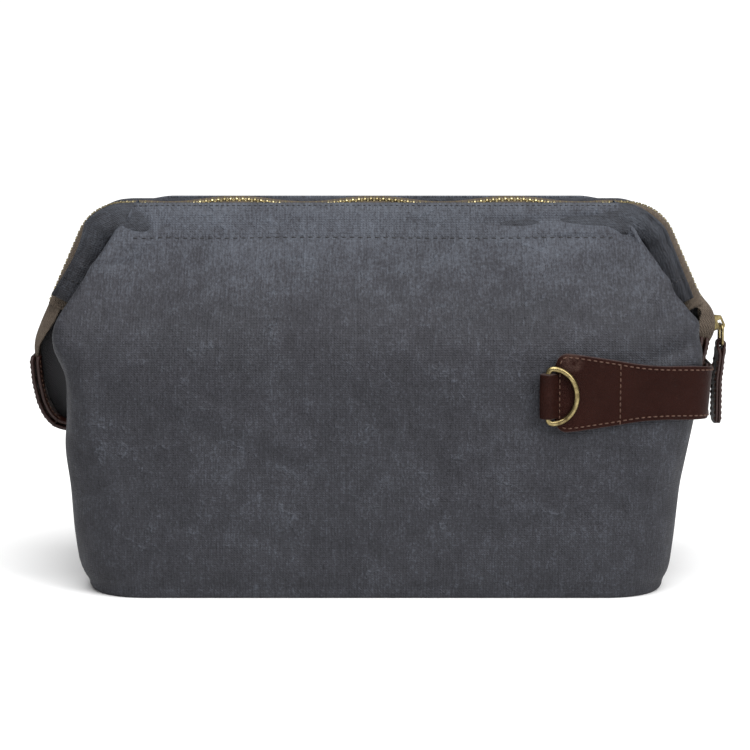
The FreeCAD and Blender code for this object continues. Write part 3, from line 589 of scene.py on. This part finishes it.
# ---- zip teeth ----
# Cast brass teeth clamped to the tape's edge, the two sides half a pitch apart.
def brass_finish(name, dark, light, rough):
    """Brass, tarnished in small flecks and dull in larger patches."""
    brass = Finish(name)
    tarnish = brass.noise(brass.place(), 420.0, 4.0, 0.6)
    grime = brass.noise(brass.place(), 90.0, 3.0)
    share = tarnish.stretch(0.35, 0.65) * 0.6 + grime.stretch(0.3, 0.7) * 0.4
    return brass.end(Base_Color=brass.mix(share, dark, light), Metallic=1.0,
                     Roughness=tarnish.stretch(0.3, 0.7, rough + 0.15, rough - 0.05),
                     Normal=brass.bumped(tarnish, 0.00006))


tooth_brass = brass_finish("tooth_brass", (0.20, 0.15, 0.06), (0.80, 0.70, 0.42), 0.30)
tooth_pitch, teeth_foot_z = 2.6, 117.3
# One tooth from its clamp on the tape to its head: distance from the mid-plane, and half sizes
# along the zip and across it.
tooth_stations = np.array([(-0.7, 0.42, 0.75), (-0.2, 0.62, 1.05), (0.6, 0.66, 1.15),
                           (1.0, 0.50, 1.0), (2.4, 0.50, 1.05), (3.1, 0.40, 0.8)])


def many(name, points, rings, around, end_cap, finish):
    """Like closed pieces in one mesh: in each, rings of points joined by quads, and two caps."""
    i, j = (k.ravel() for k in np.meshgrid(np.arange(rings - 1), np.arange(around), indexing="ij"))
    k = (j + 1) % around
    quads = np.stack([i * around + j, i * around + k, (i + 1) * around + k, (i + 1) * around + j], -1)
    quads = np.concatenate([quads, end_cap[:, ::-1], end_cap + (rings - 1) * around])
    if inside_out(points[0], quads):
        quads = quads[:, ::-1]
    starts = np.arange(len(points))[:, None, None] * rings * around
    faces = (quads[None] + starts).reshape(-1, 4)
    return mesh_object(name, points.reshape(-1, 3), faces, np.zeros((faces.size, 2)), finish)


def tooth_row(side, name):
    """One tooth's eight-sided block, flared at its head, set at each pitch along the zip line."""
    run = mouth_line(teeth_foot_z, 2)[4][-1]
    first = 0.5 if side < 0 else 1.0
    line = mouth_line(teeth_foot_z, 0, np.arange(first * tooth_pitch, run - 1.0, tooth_pitch))
    box_t, box_o = squared(np.linspace(0, 2 * np.pi, 8, endpoint=False) + np.pi / 8, 0.6, 0.6)
    d = np.repeat(tooth_stations[:, :1], 8, 1).ravel()[None, :]
    t = (tooth_stations[:, 1:2] * box_t).ravel()[None, :]
    o = (tooth_stations[:, 2:3] * box_o).ravel()[None, :]
    rise = zip_wave(line[0])[:, None] + zip_tilt(line[0], d, side)
    end_cap = np.array([[0, 1, 2, 3], [0, 3, 4, 7], [4, 5, 6, 7]])
    made = many(name, off_zip(line, side, d, o, rise, t), 6, 8, end_cap, tooth_brass)
    made.data.polygons.foreach_set("use_smooth", np.zeros(len(made.data.polygons), bool))
    return made


for side, name in sides:
    teeth = tooth_row(side, name + "_teeth")
    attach(teeth, name + "_mouth")
    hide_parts(name + "_zip_teeth", name + "_zip_teeth_right")


# ---- stitching on the canvas ----
# Waxed dark thread: a row of long stitches under the frame, and a fine row at the rim.
thread_finish = Finish("dark_thread")
twist = thread_finish.noise(thread_finish.place(), 1800.0, 2.0)
dark_thread = thread_finish.end(
    Base_Color=thread_finish.mix(twist, (0.006, 0.006, 0.008), (0.022, 0.020, 0.022)),
    Roughness=0.7, Normal=thread_finish.bumped(twist, 0.0001))

# Row's name, height, half run, pitch, stitch length and thread thickness.
body_stitches = (("frame", seam_z, 101.0, 3.5, 2.3, 0.55), ("rim", rim_z - 1.1, 101.5, 2.3, 1.4, 0.40))


def walked(line):
    """Distance along a line of points, starting at 0."""
    return np.concatenate([[0], np.cumsum(np.linalg.norm(np.diff(line, axis=0), axis=1))])


def points_at(at, run, line):
    """Points of a line at the distances `at`, where `run` is the distance along it."""
    return np.stack([np.interp(at, run, column) for column in line.T], -1)


def stitches(name, places, aims, long, thick, finish, outs):
    """A spindle of six-sided rings at each place, along its aim, sunk at both ends."""
    aims = aims / np.linalg.norm(aims, axis=1, keepdims=True)
    side = np.cross(aims, outs)
    side /= np.linalg.norm(side, axis=1, keepdims=True)
    up = np.cross(side, aims)
    share = np.array([-0.5, -0.36, 0.0, 0.36, 0.5])
    fat = np.array([0.35, 0.85, 1.0, 0.85, 0.35])
    sink = np.array([-0.6, 0.1, 0.3, 0.1, -0.6]) * thick
    ring = np.linspace(0, 2 * np.pi, 6, endpoint=False)
    a = share[:, None] * long + 0 * ring
    b = fat[:, None] * thick / 2 * np.cos(ring)
    c = fat[:, None] * thick / 2 * np.sin(ring) + sink[:, None]
    a, b, c = (v.ravel()[None, :, None] for v in (a, b, c))
    points = places[:, None, :] + aims[:, None] * a + side[:, None] * b + up[:, None] * c
    end_cap = np.array([[0, 1, 2, 3], [0, 3, 4, 5]])
    return many(name, points, 5, 6, end_cap, finish)


def on_body(side, z, x):
    """Points and outward directions on a canvas panel at a height, at places x along the face."""
    near_z, along = np.meshgrid([z - 0.3, z, z + 0.3], np.linspace(-0.75, 0.75, 900), indexing="ij")
    grid, out = body_side(side, near_z, along)
    return points_at(x, grid[1, :, 0], grid[1]), points_at(x, grid[1, :, 0], out[1])


for side, name in sides:
    for kind, z, reach, pitch, long, thick in body_stitches:
        x = np.arange(-reach, reach, pitch)
        place, outs = on_body(side, z, x)
        row = stitches(name + "_" + kind + "_stitches", place, np.gradient(place, axis=0), long, thick,
                       dark_thread, outs)
        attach(row, name + "_mouth")
    loops = casing_loops(side)
    for loop, end_name in ((9, "left"), (-10, "right")):
        line = loops[loop, 4:17]
        run = walked(line)
        at = np.arange(0.8, run[-1] - 0.5, 2.1)
        place = points_at(at, run, line)
        aims = points_at(at + 0.3, run, line) - points_at(at - 0.3, run, line)
        row = stitches(name + "_" + end_name + "_sleeve_stitches", place, aims, 1.5, 0.5, dark_thread,
                       np.tile([0.0, side, 0.0], (len(place), 1)))
        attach(row, name + "_mouth")


# ---- base ----
# A flat canvas base is sewn in all round and stands on its seam; a fibre board stiffens it.
def stacked(plan, shrink, heights, middle=0.0):
    """Rings of one flat outline: each shrunk towards a middle point, and set at its own height."""
    flat = middle + (plan - middle)[None] * shrink[:, None, None]
    return np.concatenate([flat, np.broadcast_to(heights[:, None, None], (*flat.shape[:2], 1))], -1)


rim_steps, rim_level = 181, 2.0
rim_x, rim_y = outline(np.full((1, rim_steps), rim_level), np.linspace(-1, 1, rim_steps)[None])
front_rim, back_rim = (np.stack([rim_x[0], side * rim_y[0]], -1) for side in (-1, 1))
# From the middle of the underside out to the seam and back over the top: share of the rim, height.
base_rings = np.array([(0.02, 0.9), (0.25, 0.9), (0.5, 0.8), (0.75, 0.6), (0.9, 0.3), (0.96, 0.1),
                       (0.985, 0.6), (0.985, 1.6), (0.96, 2.4), (0.9, 2.5), (0.75, 2.5), (0.5, 2.5),
                       (0.25, 2.5), (0.02, 2.5)])
base_loops = stacked(np.concatenate([front_rim, back_rim[-2:0:-1]]), base_rings[:, 0], base_rings[:, 1])
base_uv = np.concatenate([base_loops, base_loops[:, :1]], 1)[..., :2] / 1000.0
base = surface("base_canvas", base_loops, waxed_canvas, base_uv)
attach(base, "bag")
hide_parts("base_panel")


def refinish(name, finish):
    """A piece kept as the CAD model has it gets its finish."""
    slots = cad_nodes[name].data.materials
    slots.clear()
    slots.append(finish)


fibre = Finish("fibre_board")
fibre_fleck = fibre.noise(fibre.place(), 700.0, 4.0)
refinish("base_board", fibre.end(
    Base_Color=fibre.mix(fibre_fleck, (0.02, 0.019, 0.019), (0.05, 0.046, 0.042)), Roughness=0.9,
    Normal=fibre.bumped(fibre_fleck, 0.0002)))


# ---- frame wires and their caps ----
# Drawn spring steel wire inside each casing, with a soft black cap pushed on each end.
steel = Finish("spring_steel")
drawn = steel.noise(steel.scaled(steel.place(), 60.0, 900.0, 900.0), 1.0, 3.0)
spring_steel = steel.end(Base_Color=steel.mix(drawn, (0.32, 0.32, 0.33), (0.55, 0.55, 0.56)),
                         Metallic=1.0, Roughness=0.35, Normal=steel.bumped(drawn, 0.00005))
soft = Finish("soft_plastic")
soft_tone = soft.noise(soft.place(), 300.0)
soft_plastic = soft.end(Base_Color=soft.mix(soft_tone, (0.012, 0.012, 0.012), (0.022, 0.022, 0.022)),
                        Roughness=0.55, Normal=soft.bumped(soft_tone, 0.00005))
for side in ("front", "back"):
    refinish(side + "_frame_wire", spring_steel)
    refinish(side + "_wire_caps", soft_plastic)


# ---- leather handle ----
# Two layers of dark brown pull-up leather, edges painted, sewn to the front and back faces
# with a row of orange-brown thread round each patch, and hanging in a slack arc round the end.
leather = Finish("pull_up_leather")
across_strip = leather.split(leather.cut())[1]
hide = leather.noise(leather.place(), 38.0, 4.0, 0.6)
scuff = leather.noise(leather.place(), 260.0, 4.0, 0.65)
grain = leather.node("ShaderNodeTexVoronoi", {"feature": "DISTANCE_TO_EDGE"},
                     {"Vector": leather.place(), "Scale": 1150.0})
painted = across_strip.size().stretch(0.965, 0.99)
here_x, _, here_z = leather.split(leather.place())
sheen_x, sheen_z = 0.0795, 0.0992     # the patch's worn upper corner, painted pale: a painted highlight of its sheen
painted_sheen = ((here_x - sheen_x) * 190.0) ** 2.0 + ((here_z - sheen_z) * 210.0) ** 2.0
painted_sheen = painted_sheen.stretch(1.0, 0.15) * scuff.stretch(0.32, 0.6)
hide_tone = leather.mix(hide.stretch(0.3, 0.7), (0.0135, 0.0038, 0.0027), (0.0235, 0.0072, 0.0050))
# painted highlight: the sheen on the worn corner is painted into the colour, on top of the random scuffs
hide_tone = leather.mix(scuff.stretch(0.6, 0.85) * 0.12 + painted_sheen * 0.55, hide_tone, (0.105, 0.062, 0.050))
pull_up_leather = leather.end(
    Base_Color=leather.mix(painted, hide_tone, (0.052, 0.036, 0.034)),
    Roughness=scuff.stretch(0.3, 0.7, 0.44, 0.56), Specular_IOR_Level=0.06,
    Normal=leather.bumped(grain.stretch(0.0, 0.12) + scuff * 0.8, 0.00016))


def rounded(corners, radii, step=0.8):
    """A bent line with an arc at each inner corner: points a step apart, unit vectors along it,
    and distances along it."""
    corners = np.asarray(corners, float)
    made = [corners[:1]]
    for before, corner, after, r in zip(corners, corners[1:], corners[2:], radii):
        a, b = (v / np.linalg.norm(v) for v in (before - corner, after - corner))
        half = math.acos(np.clip(-a @ b, -1, 1)) / 2
        start, stop = corner + a * r * math.tan(half), corner + b * r * math.tan(half)
        t = np.linspace(0, 1, max(4, int(2 * half * r / step)))[:, None]
        centre = corner + (a + b) / np.linalg.norm(a + b) * r / math.cos(half)
        spoke = (start - centre) * (1 - t) + (stop - centre) * t
        made.append(centre + spoke / np.linalg.norm(spoke, axis=1, keepdims=True) * r)
    made.append(corners[-1:])
    line = np.concatenate(made)
    run = walked(line)
    at = np.linspace(0, run[-1], max(8, int(run[-1] / step)))
    line = points_at(at, run, line)
    aim = np.gradient(line, axis=0)
    return line, aim / np.linalg.norm(aim, axis=1, keepdims=True), at


def strip(name, line, wide_way, thick_way, wide, thick, finish, flat=14):
    """Leather or tape carried along a line: a flat loop with rounded edges, `wide` across and
    `thick` through, both of which may change along the line."""
    arc = np.linspace(np.pi, np.pi / 2, 5)[:-1]
    r = 0.5
    upper = [(-1.0, r * math.cos(a), math.sin(a)) for a in arc]
    upper += [(k, 0.0, 1.0) for k in np.linspace(-1, 1, flat)]
    upper += [(1.0, -r * math.cos(a), math.sin(a)) for a in arc[::-1]]
    upper = np.array(upper)
    lower = upper[::-1] * np.array([1, 1, -1])
    loop = np.concatenate([upper, lower])
    wide, thick = (np.broadcast_to(np.asarray(v, float), (len(line),))[:, None] for v in (wide, thick))
    across = loop[None, :, 0] * (wide / 2 - r * thick) + loop[None, :, 1] * thick
    through = loop[None, :, 2] * thick / 2
    grid = line[:, None] + wide_way[:, None] * across[..., None] + thick_way[:, None] * through[..., None]
    along = walked(line) / 1000.0
    share = across / (wide / 2)
    uv = np.stack([np.broadcast_to(along[:, None], share.shape), share], -1)
    return surface(name, grid, finish, np.concatenate([uv, uv[:, :1]], 1))


handle_z, leather_thick = 86.4, 1.4
patch_x, patch_corner, handle_sag, sag_round = 72.9, 5.0, 7.0, 8.0
face_y = half_deep + leather_thick
handle_plan = [(patch_x, -face_y), (115.5, -face_y), (134.9, -54.3), (142.2, 0.0),
               (134.9, 54.3), (115.5, face_y), (patch_x, face_y)]
up = np.array([0.0, 0.0, 1.0])


def handle_half(far, inset=0.0):
    """Half the handle's height at a distance in from its end: a patch with round corners that
    narrows almost straight to the strap.  `inset` moves the whole outline in."""
    steps = far[:, None] + np.linspace(-5, 5, 11)[None]
    half = np.interp(steps, [0, 5, 26, 34, 44], [16.4, 16.4, 13.2, 11.7, 11.0]).mean(1)
    r = patch_corner - inset
    corner = np.clip(patch_corner - far, 0, r)
    return half - inset - (r - np.sqrt(np.maximum(r ** 2 - corner ** 2, 0.0)))


def handle_rows(off):
    """The handle's middle line, moved out by `off` and sagging to the mid-plane; the ways across
    the strap and out of it; and the distance in from its nearer end."""
    plan, aim, at = rounded(handle_plan, [14.0, 9.0, 60.0, 9.0, 14.0])
    out = np.stack([aim[:, 1], -aim[:, 0], 0 * at], -1)
    plan = plan + out[:, :2] * off
    drop = handle_sag * (1 - np.sqrt(plan[:, 1] ** 2 + sag_round ** 2) / math.hypot(face_y, sag_round))
    line = np.stack([plan[:, 0], plan[:, 1], handle_z - drop], -1)
    far = np.minimum(at, at[-1] - at)
    across = up + out * 0.08 * np.clip((far - 48) / 18, 0, 1)[:, None]
    return line, across, out, far


for name, cad_name, off, inset in (("handle_face_leather", "handle_outer", 0.7, 0.0),
                                   ("handle_back_leather", "handle_inner", -0.7, 0.35)):
    line, across, out, far = handle_rows(off)
    half = handle_half(np.maximum(far, 0.05)) - inset
    half = half + 0.25 * np.sin(far / 7.0 + off) * np.clip((far - 45) / 10, 0, 1)
    piece = strip(name, line, across, out, 2 * half, leather_thick, pull_up_leather, flat=18)
    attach(piece, "bag")
    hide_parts(cad_name)

orange = Finish("orange_thread")
orange_twist = orange.noise(orange.place(), 1600.0, 2.0)
orange_thread = orange.end(Base_Color=orange.mix(orange_twist, (0.035, 0.012, 0.006), (0.095, 0.042, 0.021)),
                           Roughness=0.6, Normal=orange.bumped(orange_twist, 0.0001))
stitch_in, stitch_pitch, cross_row_x = 1.6, 2.5, 99.2
rows = handle_rows(leather_thick + 0.05)
line, across, out, far = (v[rows[3] > stitch_in] for v in rows)
half = handle_half(far, stitch_in)[:, None]
path = np.concatenate([line + across * half, (line - across * half)[::-1]])
path = np.concatenate([path, path[:1]])
away = np.concatenate([out, out[::-1], out[:1]])
run = walked(path)
at = np.arange(1.0, run[-1], stitch_pitch)
place, outs = points_at(at, run, path), points_at(at, run, away)
aims = points_at(at + 0.4, run, path) - points_at(at - 0.4, run, path)
cross_z = np.arange(handle_z - 12.0, handle_z + 11.5, stitch_pitch)
for side in (-1, 1):
    cross_y = side * (face_y + leather_thick / 2 + 0.75)
    cross = np.stack([0 * cross_z + cross_row_x, 0 * cross_z + cross_y, cross_z], -1)
    place = np.concatenate([place, cross])
    aims = np.concatenate([aims, np.tile(up, (len(cross), 1))])
    outs = np.concatenate([outs, np.tile([0.0, side, 0.0], (len(cross), 1))])
seam = stitches("handle_stitches", place, aims, 1.8, 0.6, orange_thread, outs)
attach(seam, "bag")


# ---- D-ring and its loop ----
# A cast brass ring; its straight bar turns in leather folded round it and sewn under the patch.
antique_brass = brass_finish("antique_brass", (0.075, 0.052, 0.022), (0.40, 0.325, 0.155), 0.27)
refinish("pull_ring", antique_brass)
refinish("slider", antique_brass)

bar_x, bar_y = 69.8, -61.15
ring_half, ring_deep, ring_wire, ring_z, ring_corner = 11.3, 11.8, 2.3, 85.4, 1.6
bow = np.radians(np.linspace(93, -93, 80))
bend = np.radians(np.linspace(180, 100, 12))
corner_x = ring_corner + ring_corner * np.cos(bend)
corner_z = ring_half - 1.8 + ring_corner * np.sin(bend)
bow_x, bow_z = 1.8 + (ring_deep - 1.9) * np.cos(bow), (ring_half - 0.1) * np.sin(bow)
plan_x = np.concatenate([[0.0, 0.0], corner_x, bow_x, corner_x[::-1], [0.0, 0.0]])
plan_z = np.concatenate([[0.0, 8.0], corner_z, bow_z, -corner_z[::-1], [-8.0, 0.0]])
plan = np.stack([plan_x, plan_z], -1)
run = walked(plan)
at = np.arange(0.0, run[-1], 0.5)
plan = np.mean([points_at(at + step, run, plan) for step in (-0.8, -0.4, 0.0, 0.4, 0.8)], 0)
aim = np.gradient(plan, axis=0)
aim /= np.linalg.norm(aim, axis=1, keepdims=True)
around = np.linspace(0, 2 * np.pi, 16, endpoint=False)
across, through = np.cos(around)[None] * ring_wire / 2, np.sin(around)[None] * ring_wire / 2
loops = np.stack([bar_x + plan[:, :1] - aim[:, 1:] * across, bar_y + through + 0 * at[:, None],
                  ring_z + plan[:, 1:] + aim[:, :1] * across], -1)
ring = surface("d_ring_brass", loops, antique_brass)
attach(ring, "d_ring")
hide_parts("d_ring")

loop_r, loop_long, loop_tall = 3.46, 10.0, 18.4
turn = np.linspace(np.pi, np.pi / 2, 12)[:-1]
run = np.linspace(0, 1, 14)
ease = np.clip(run * 1.6, 0, 1) ** 2 * (3 - 2 * np.clip(run * 1.6, 0, 1))
loop_x = np.concatenate([bar_x + loop_r * np.cos(turn), bar_x + run * loop_long])
front_y = np.concatenate([bar_y - loop_r * np.sin(turn),
                          (bar_y - loop_r) * (1 - ease) - (half_deep + 1.4) * ease])
back_y = np.concatenate([bar_y + loop_r * np.sin(turn),
                         (bar_y + loop_r) * (1 - ease) - (half_deep + 0.1) * ease])
loop_plan = np.concatenate([np.stack([loop_x, front_y], -1), np.stack([loop_x, back_y], -1)[::-1]])
levels = np.array([0.0, 0.15, 0.5, 1.0, 3.0, 9.2, 15.4, 17.4, 17.9, 18.25, 18.4]) - loop_tall / 2
shrink = np.array([0.86, 0.93, 0.98, 1.0, 1.0, 1.01, 1.0, 1.0, 0.98, 0.93, 0.86])
loop_middle = np.array([bar_x + 1.0, bar_y + 1.6])
loops = stacked(loop_plan, shrink, levels + handle_z - 1.0, loop_middle)
share = np.broadcast_to((levels / (loop_tall / 2))[:, None], (len(levels), len(loop_plan) + 1))
ring_loop = surface("d_ring_leather", loops, pull_up_leather, np.stack([share * 0, share], -1))
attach(ring_loop, "bag")
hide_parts("d_ring_loop")


# ---- zip pull ----
# A leather strip folded over the link's lower bar, its two layers glued and sewn together.
pull_x, pull_top, pull_long, pull_wide, pull_thick = 147.92, 99.27, 34.0, 16.0, 1.3
foot = pull_top - pull_long
leg, eye, neck_z, eye_z = 0.66, 1.42, pull_top - 4.5, pull_top - 0.6
pull_plan = [(pull_x + x, z) for x, z in (
    (-leg, foot), (-leg, neck_z), (-eye, eye_z), (-eye, pull_top + eye),
    (eye, pull_top + eye), (eye, eye_z), (leg, neck_z), (leg, foot))]


def bent_in(z):
    """How far the hanging pull bends in towards the bag at a height, in mm."""
    return 1.5 * np.clip((pull_top - 1 - z) / 14, 0, 1)


plan, aim, at = rounded(pull_plan, [6.0, 3.0, 1.38, 1.38, 3.0, 6.0], 0.5)
line = np.stack([plan[:, 0] - bent_in(plan[:, 1]), 0 * at, plan[:, 1]], -1)
thick_way = np.stack([-aim[:, 1], 0 * at, aim[:, 0]], -1)
low = np.clip((plan[:, 1] - foot) / 4.0, 0, 1)
shoulder = np.clip((pull_top - 1.6 - plan[:, 1]) / 2.4, 0, 1)
wide = 7.0 + (pull_wide - 7.0) * np.sqrt(shoulder * (2 - shoulder))
wide -= 8.0 * (1 - np.sqrt(low * (2 - low)))
pull = strip("zip_pull_leather", line, np.tile([0.0, 1.0, 0.0], (len(line), 1)), thick_way, wide,
             pull_thick, pull_up_leather)
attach(pull, "pull")
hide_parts("zip_pull")
seam_y = pull_wide / 2 - 1.8
seam_levels = np.arange(2.6, pull_long - 6.0, 2.4) + foot
for out_x, name in ((1, "outer"), (-1, "inner")):
    place = np.array([(pull_x + out_x * 1.34 - bent_in(z), y, z)
                      for y in (-seam_y, seam_y) for z in seam_levels])
    seam = stitches("pull_stitches_" + name, place, np.tile(up, (len(place), 1)), 1.8, 0.55,
                    orange_thread, np.tile([out_x, 0.0, 0.0], (len(place), 1)))
    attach(seam, "pull")


# ---- zip ends: tape tails and leather tabs ----
# Below the casings the two tapes close to a tail, which runs down between two leather layers;
# each tab bows out from the end and is sewn into the end seam low down.
ends = ((-1, "left"), (1, "right"))
tab_wide, tab_thick, tail_half = 18.0, 1.6, 0.4
# Middle line down each end, x from the bag's middle and z; a tab takes the part below its top.
end_line = {
    1: [(137.3, 121.3), (142.2, 110.4), (140.4, 103.6), (139.2, 97.5), (137.6, 91.0), (136.9, 84.0),
        (135.9, 76.0), (133.7, 68.0), (128.0, 59.5)],
    -1: [(137.3, 121.3), (144.8, 103.5), (145.3, 99.0), (145.4, 92.0), (144.7, 84.0), (142.9, 75.5),
         (139.8, 68.4), (135.2, 65.2), (127.0, 64.2)]}
tab_top = {1: 103.0, -1: 94.4}
# Tail: height, outer edge's x, inner edge's x, and the outer edge's distance from the mid-plane.
tail_rows = {
    1: np.array([
        (92.0, 138.6, 137.4, 1.5), (96.0, 140.0, 138.9, 2.6), (98.5, 141.4, 139.9, 3.6),
        (103.0, 143.7, 137.9, 5.0), (106.0, 144.6, 137.2, 5.3), (110.0, 144.7, 138.0, 5.3),
        (113.2, 144.0, 138.9, 5.3), (115.1, 143.1, 136.7, 5.0), (116.8, 142.0, 131.6, 4.0),
        (119.0, 140.0, 130.4, 2.6), (122.5, 137.6, 129.6, 1.7)]),
    -1: np.array([
        (92.0, 146.2, 145.0, 1.2), (98.6, 146.4, 144.2, 1.6), (102.0, 145.9, 141.6, 1.6),
        (105.3, 144.8, 139.3, 1.6), (110.0, 142.9, 136.6, 1.6), (114.0, 141.1, 134.6, 1.6),
        (118.5, 139.0, 131.8, 1.6), (122.5, 137.4, 129.8, 1.6)])}


def tape_tail(end, side):
    """Outer face of one tape's tail and its normals: from edge to edge of the rows above, away
    from the mid-plane and closing lower down, with a ripple across."""
    z = np.linspace(92.0, 122.5, 46)[:, None]
    steps, heights = z[..., None] + np.linspace(-1.2, 1.2, 7), tail_rows[end][:, 0]
    outer_x, inner_x, near_d = (np.interp(steps, heights, tail_rows[end][:, k]).mean(-1) for k in (1, 2, 3))
    share = np.linspace(0, 1, 14)[None]
    closing = np.clip((108.0 - z) / 14.0, 0, 1)
    d = near_d + (6.6 - 2.4 * closing - near_d) * share ** 0.7
    d = d + 0.45 * np.sin(z / 2.1 + 2.4 * share) * share * (1 - share) * 4
    grid = np.stack([end * (outer_x + (inner_x - outer_x) * share), side * d, z + 0.8 * share], -1)
    out = normals(grid)
    return grid, out * np.sign(np.sum(out[..., 1] * side))


def tab_line(end):
    """Middle line of one tab, the way through its layers to the inside, and its width."""
    plan, aim, at = rounded(end_line[end], [4.0, 5.0, 8.0, 10.0, 14.0, 14.0, 10.0], 0.7)
    inward = np.stack([aim[:, 1], -aim[:, 0]], -1)
    inward *= np.sign(-inward[5:6, :1])
    tab = plan[:, 1] < tab_top[end]
    plan, inward, at = plan[tab], inward[tab], at[tab]
    line = np.stack([end * plan[:, 0], 0 * at, plan[:, 1]], -1)
    thick_way = np.stack([end * inward[:, 0], 0 * at, inward[:, 1]], -1)
    near_top = np.clip((at - at[0]) / 2.5, 0, 1)
    return line, thick_way, tab_wide - 5.0 * (1 - np.sqrt(near_top * (2 - near_top)))


for end, end_name in ends:
    for side, name in sides:
        grid, out = tape_tail(end, side)
        tail = shell(end_name + "_" + name + "_tape_tail", grid, out, 0.7, herringbone)
        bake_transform(tail)
        if side < 0:
            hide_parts(end_name + "_zip_end_tape")
    line, thick_way, wide = tab_line(end)
    wide_way = np.tile([0.0, 1.0, 0.0], (len(line), 1))
    for layer, inside in (("outer", -1), ("inner", 1)):
        off = inside * (tail_half + tab_thick / 2)
        piece = strip(end_name + "_tab_" + layer + "_leather", line + thick_way * off, wide_way, thick_way,
                      wide, tab_thick, pull_up_leather)
        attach(piece, "bag")
        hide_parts(end_name + "_tab_" + layer)
        rows = slice(3, -12, 3)
        face = line[rows] + thick_way[rows] * (off + inside * (tab_thick / 2 + 0.02))
        place = np.concatenate([face + [0, y, 0] for y in (-tab_wide / 2 + 2.0, tab_wide / 2 - 2.0)])
        aims = np.concatenate([np.gradient(line, axis=0)[rows]] * 2)
        outs = np.concatenate([thick_way[rows]] * 2) * inside
        seam = stitches(end_name + "_tab_" + layer + "_stitches", place, aims, 1.6, 0.55,
                        orange_thread, outs)
        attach(seam, "bag")


# ---- end folds, painted shade ----
# At each end a black cotton sheet folds out from the end seam to inside the tab: painted shade, a dark sheet
# standing in for the shade in that recess.
# Height, and how far the fold's tip reaches from the bag's middle.
shade_fold_reach = {
    1: [(60, 129), (66, 130.5), (76, 133.2), (84, 134.4), (92, 135.5), (98, 137.0), (104, 138.0),
        (108, 137.9), (113, 137.9), (115.5, 137.2), (117, 135.0), (118.5, 132.0)],
    -1: [(62, 128), (66, 133.5), (70, 137.4), (76, 140.6), (84, 142.6), (93, 143.6), (98, 143.8),
         (103, 142.2), (108, 139.2), (113, 135.4), (117.5, 131.4)]}
for end, end_name in ends:
    reach = np.array(shade_fold_reach[end], float)
    z = np.linspace(reach[0, 0], reach[-1, 0], 40)[:, None]
    tip = np.interp(z, reach[:, 0], reach[:, 1])
    root_x, root_y = outline(z, np.full((40, 1), 0.94))
    out_share = np.linspace(0, 1, 12)
    share = np.concatenate([out_share, out_share[::-1]])[None]
    half = np.concatenate([-np.ones(12), np.ones(12)])[None]
    x = (root_x - 1.0) + (tip - root_x + 1.0) * share - 1.2 * np.sin(np.pi * share)
    y = half * ((root_y + 2.0) * (1 - share) ** 1.6 + 0.7)
    # painted shade: a black sheet put where the recess between the end seam and the tab lies in shade
    fold = surface(end_name + "_end_fold", np.stack([end * x, y, z + 0 * x], -1), black_cotton)
    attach(fold, "bag")


# ---- binding inside the end seams ----
# Woven tape sewn over the seam allowances, flat against the lining.
binding_wide, binding_thick, seam_inset = 9.0, 1.0, 5.4
for end, end_name in ends:
    z = np.linspace(10.0, 104.0, 60)
    seam_x, _ = outline(z[:, None], np.full((60, 1), 1.0))
    line = np.stack([end * (seam_x[:, 0] - seam_inset), 0 * z, z], -1)
    wide_way, out = (np.tile(v, (60, 1)) for v in ([0.0, 1.0, 0.0], [float(end), 0.0, 0.0]))
    bound = strip(end_name + "_seam_binding", line, wide_way, out, binding_wide, binding_thick, black_cotton)
    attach(bound, "bag")
    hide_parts(end_name + "_seam_tape")
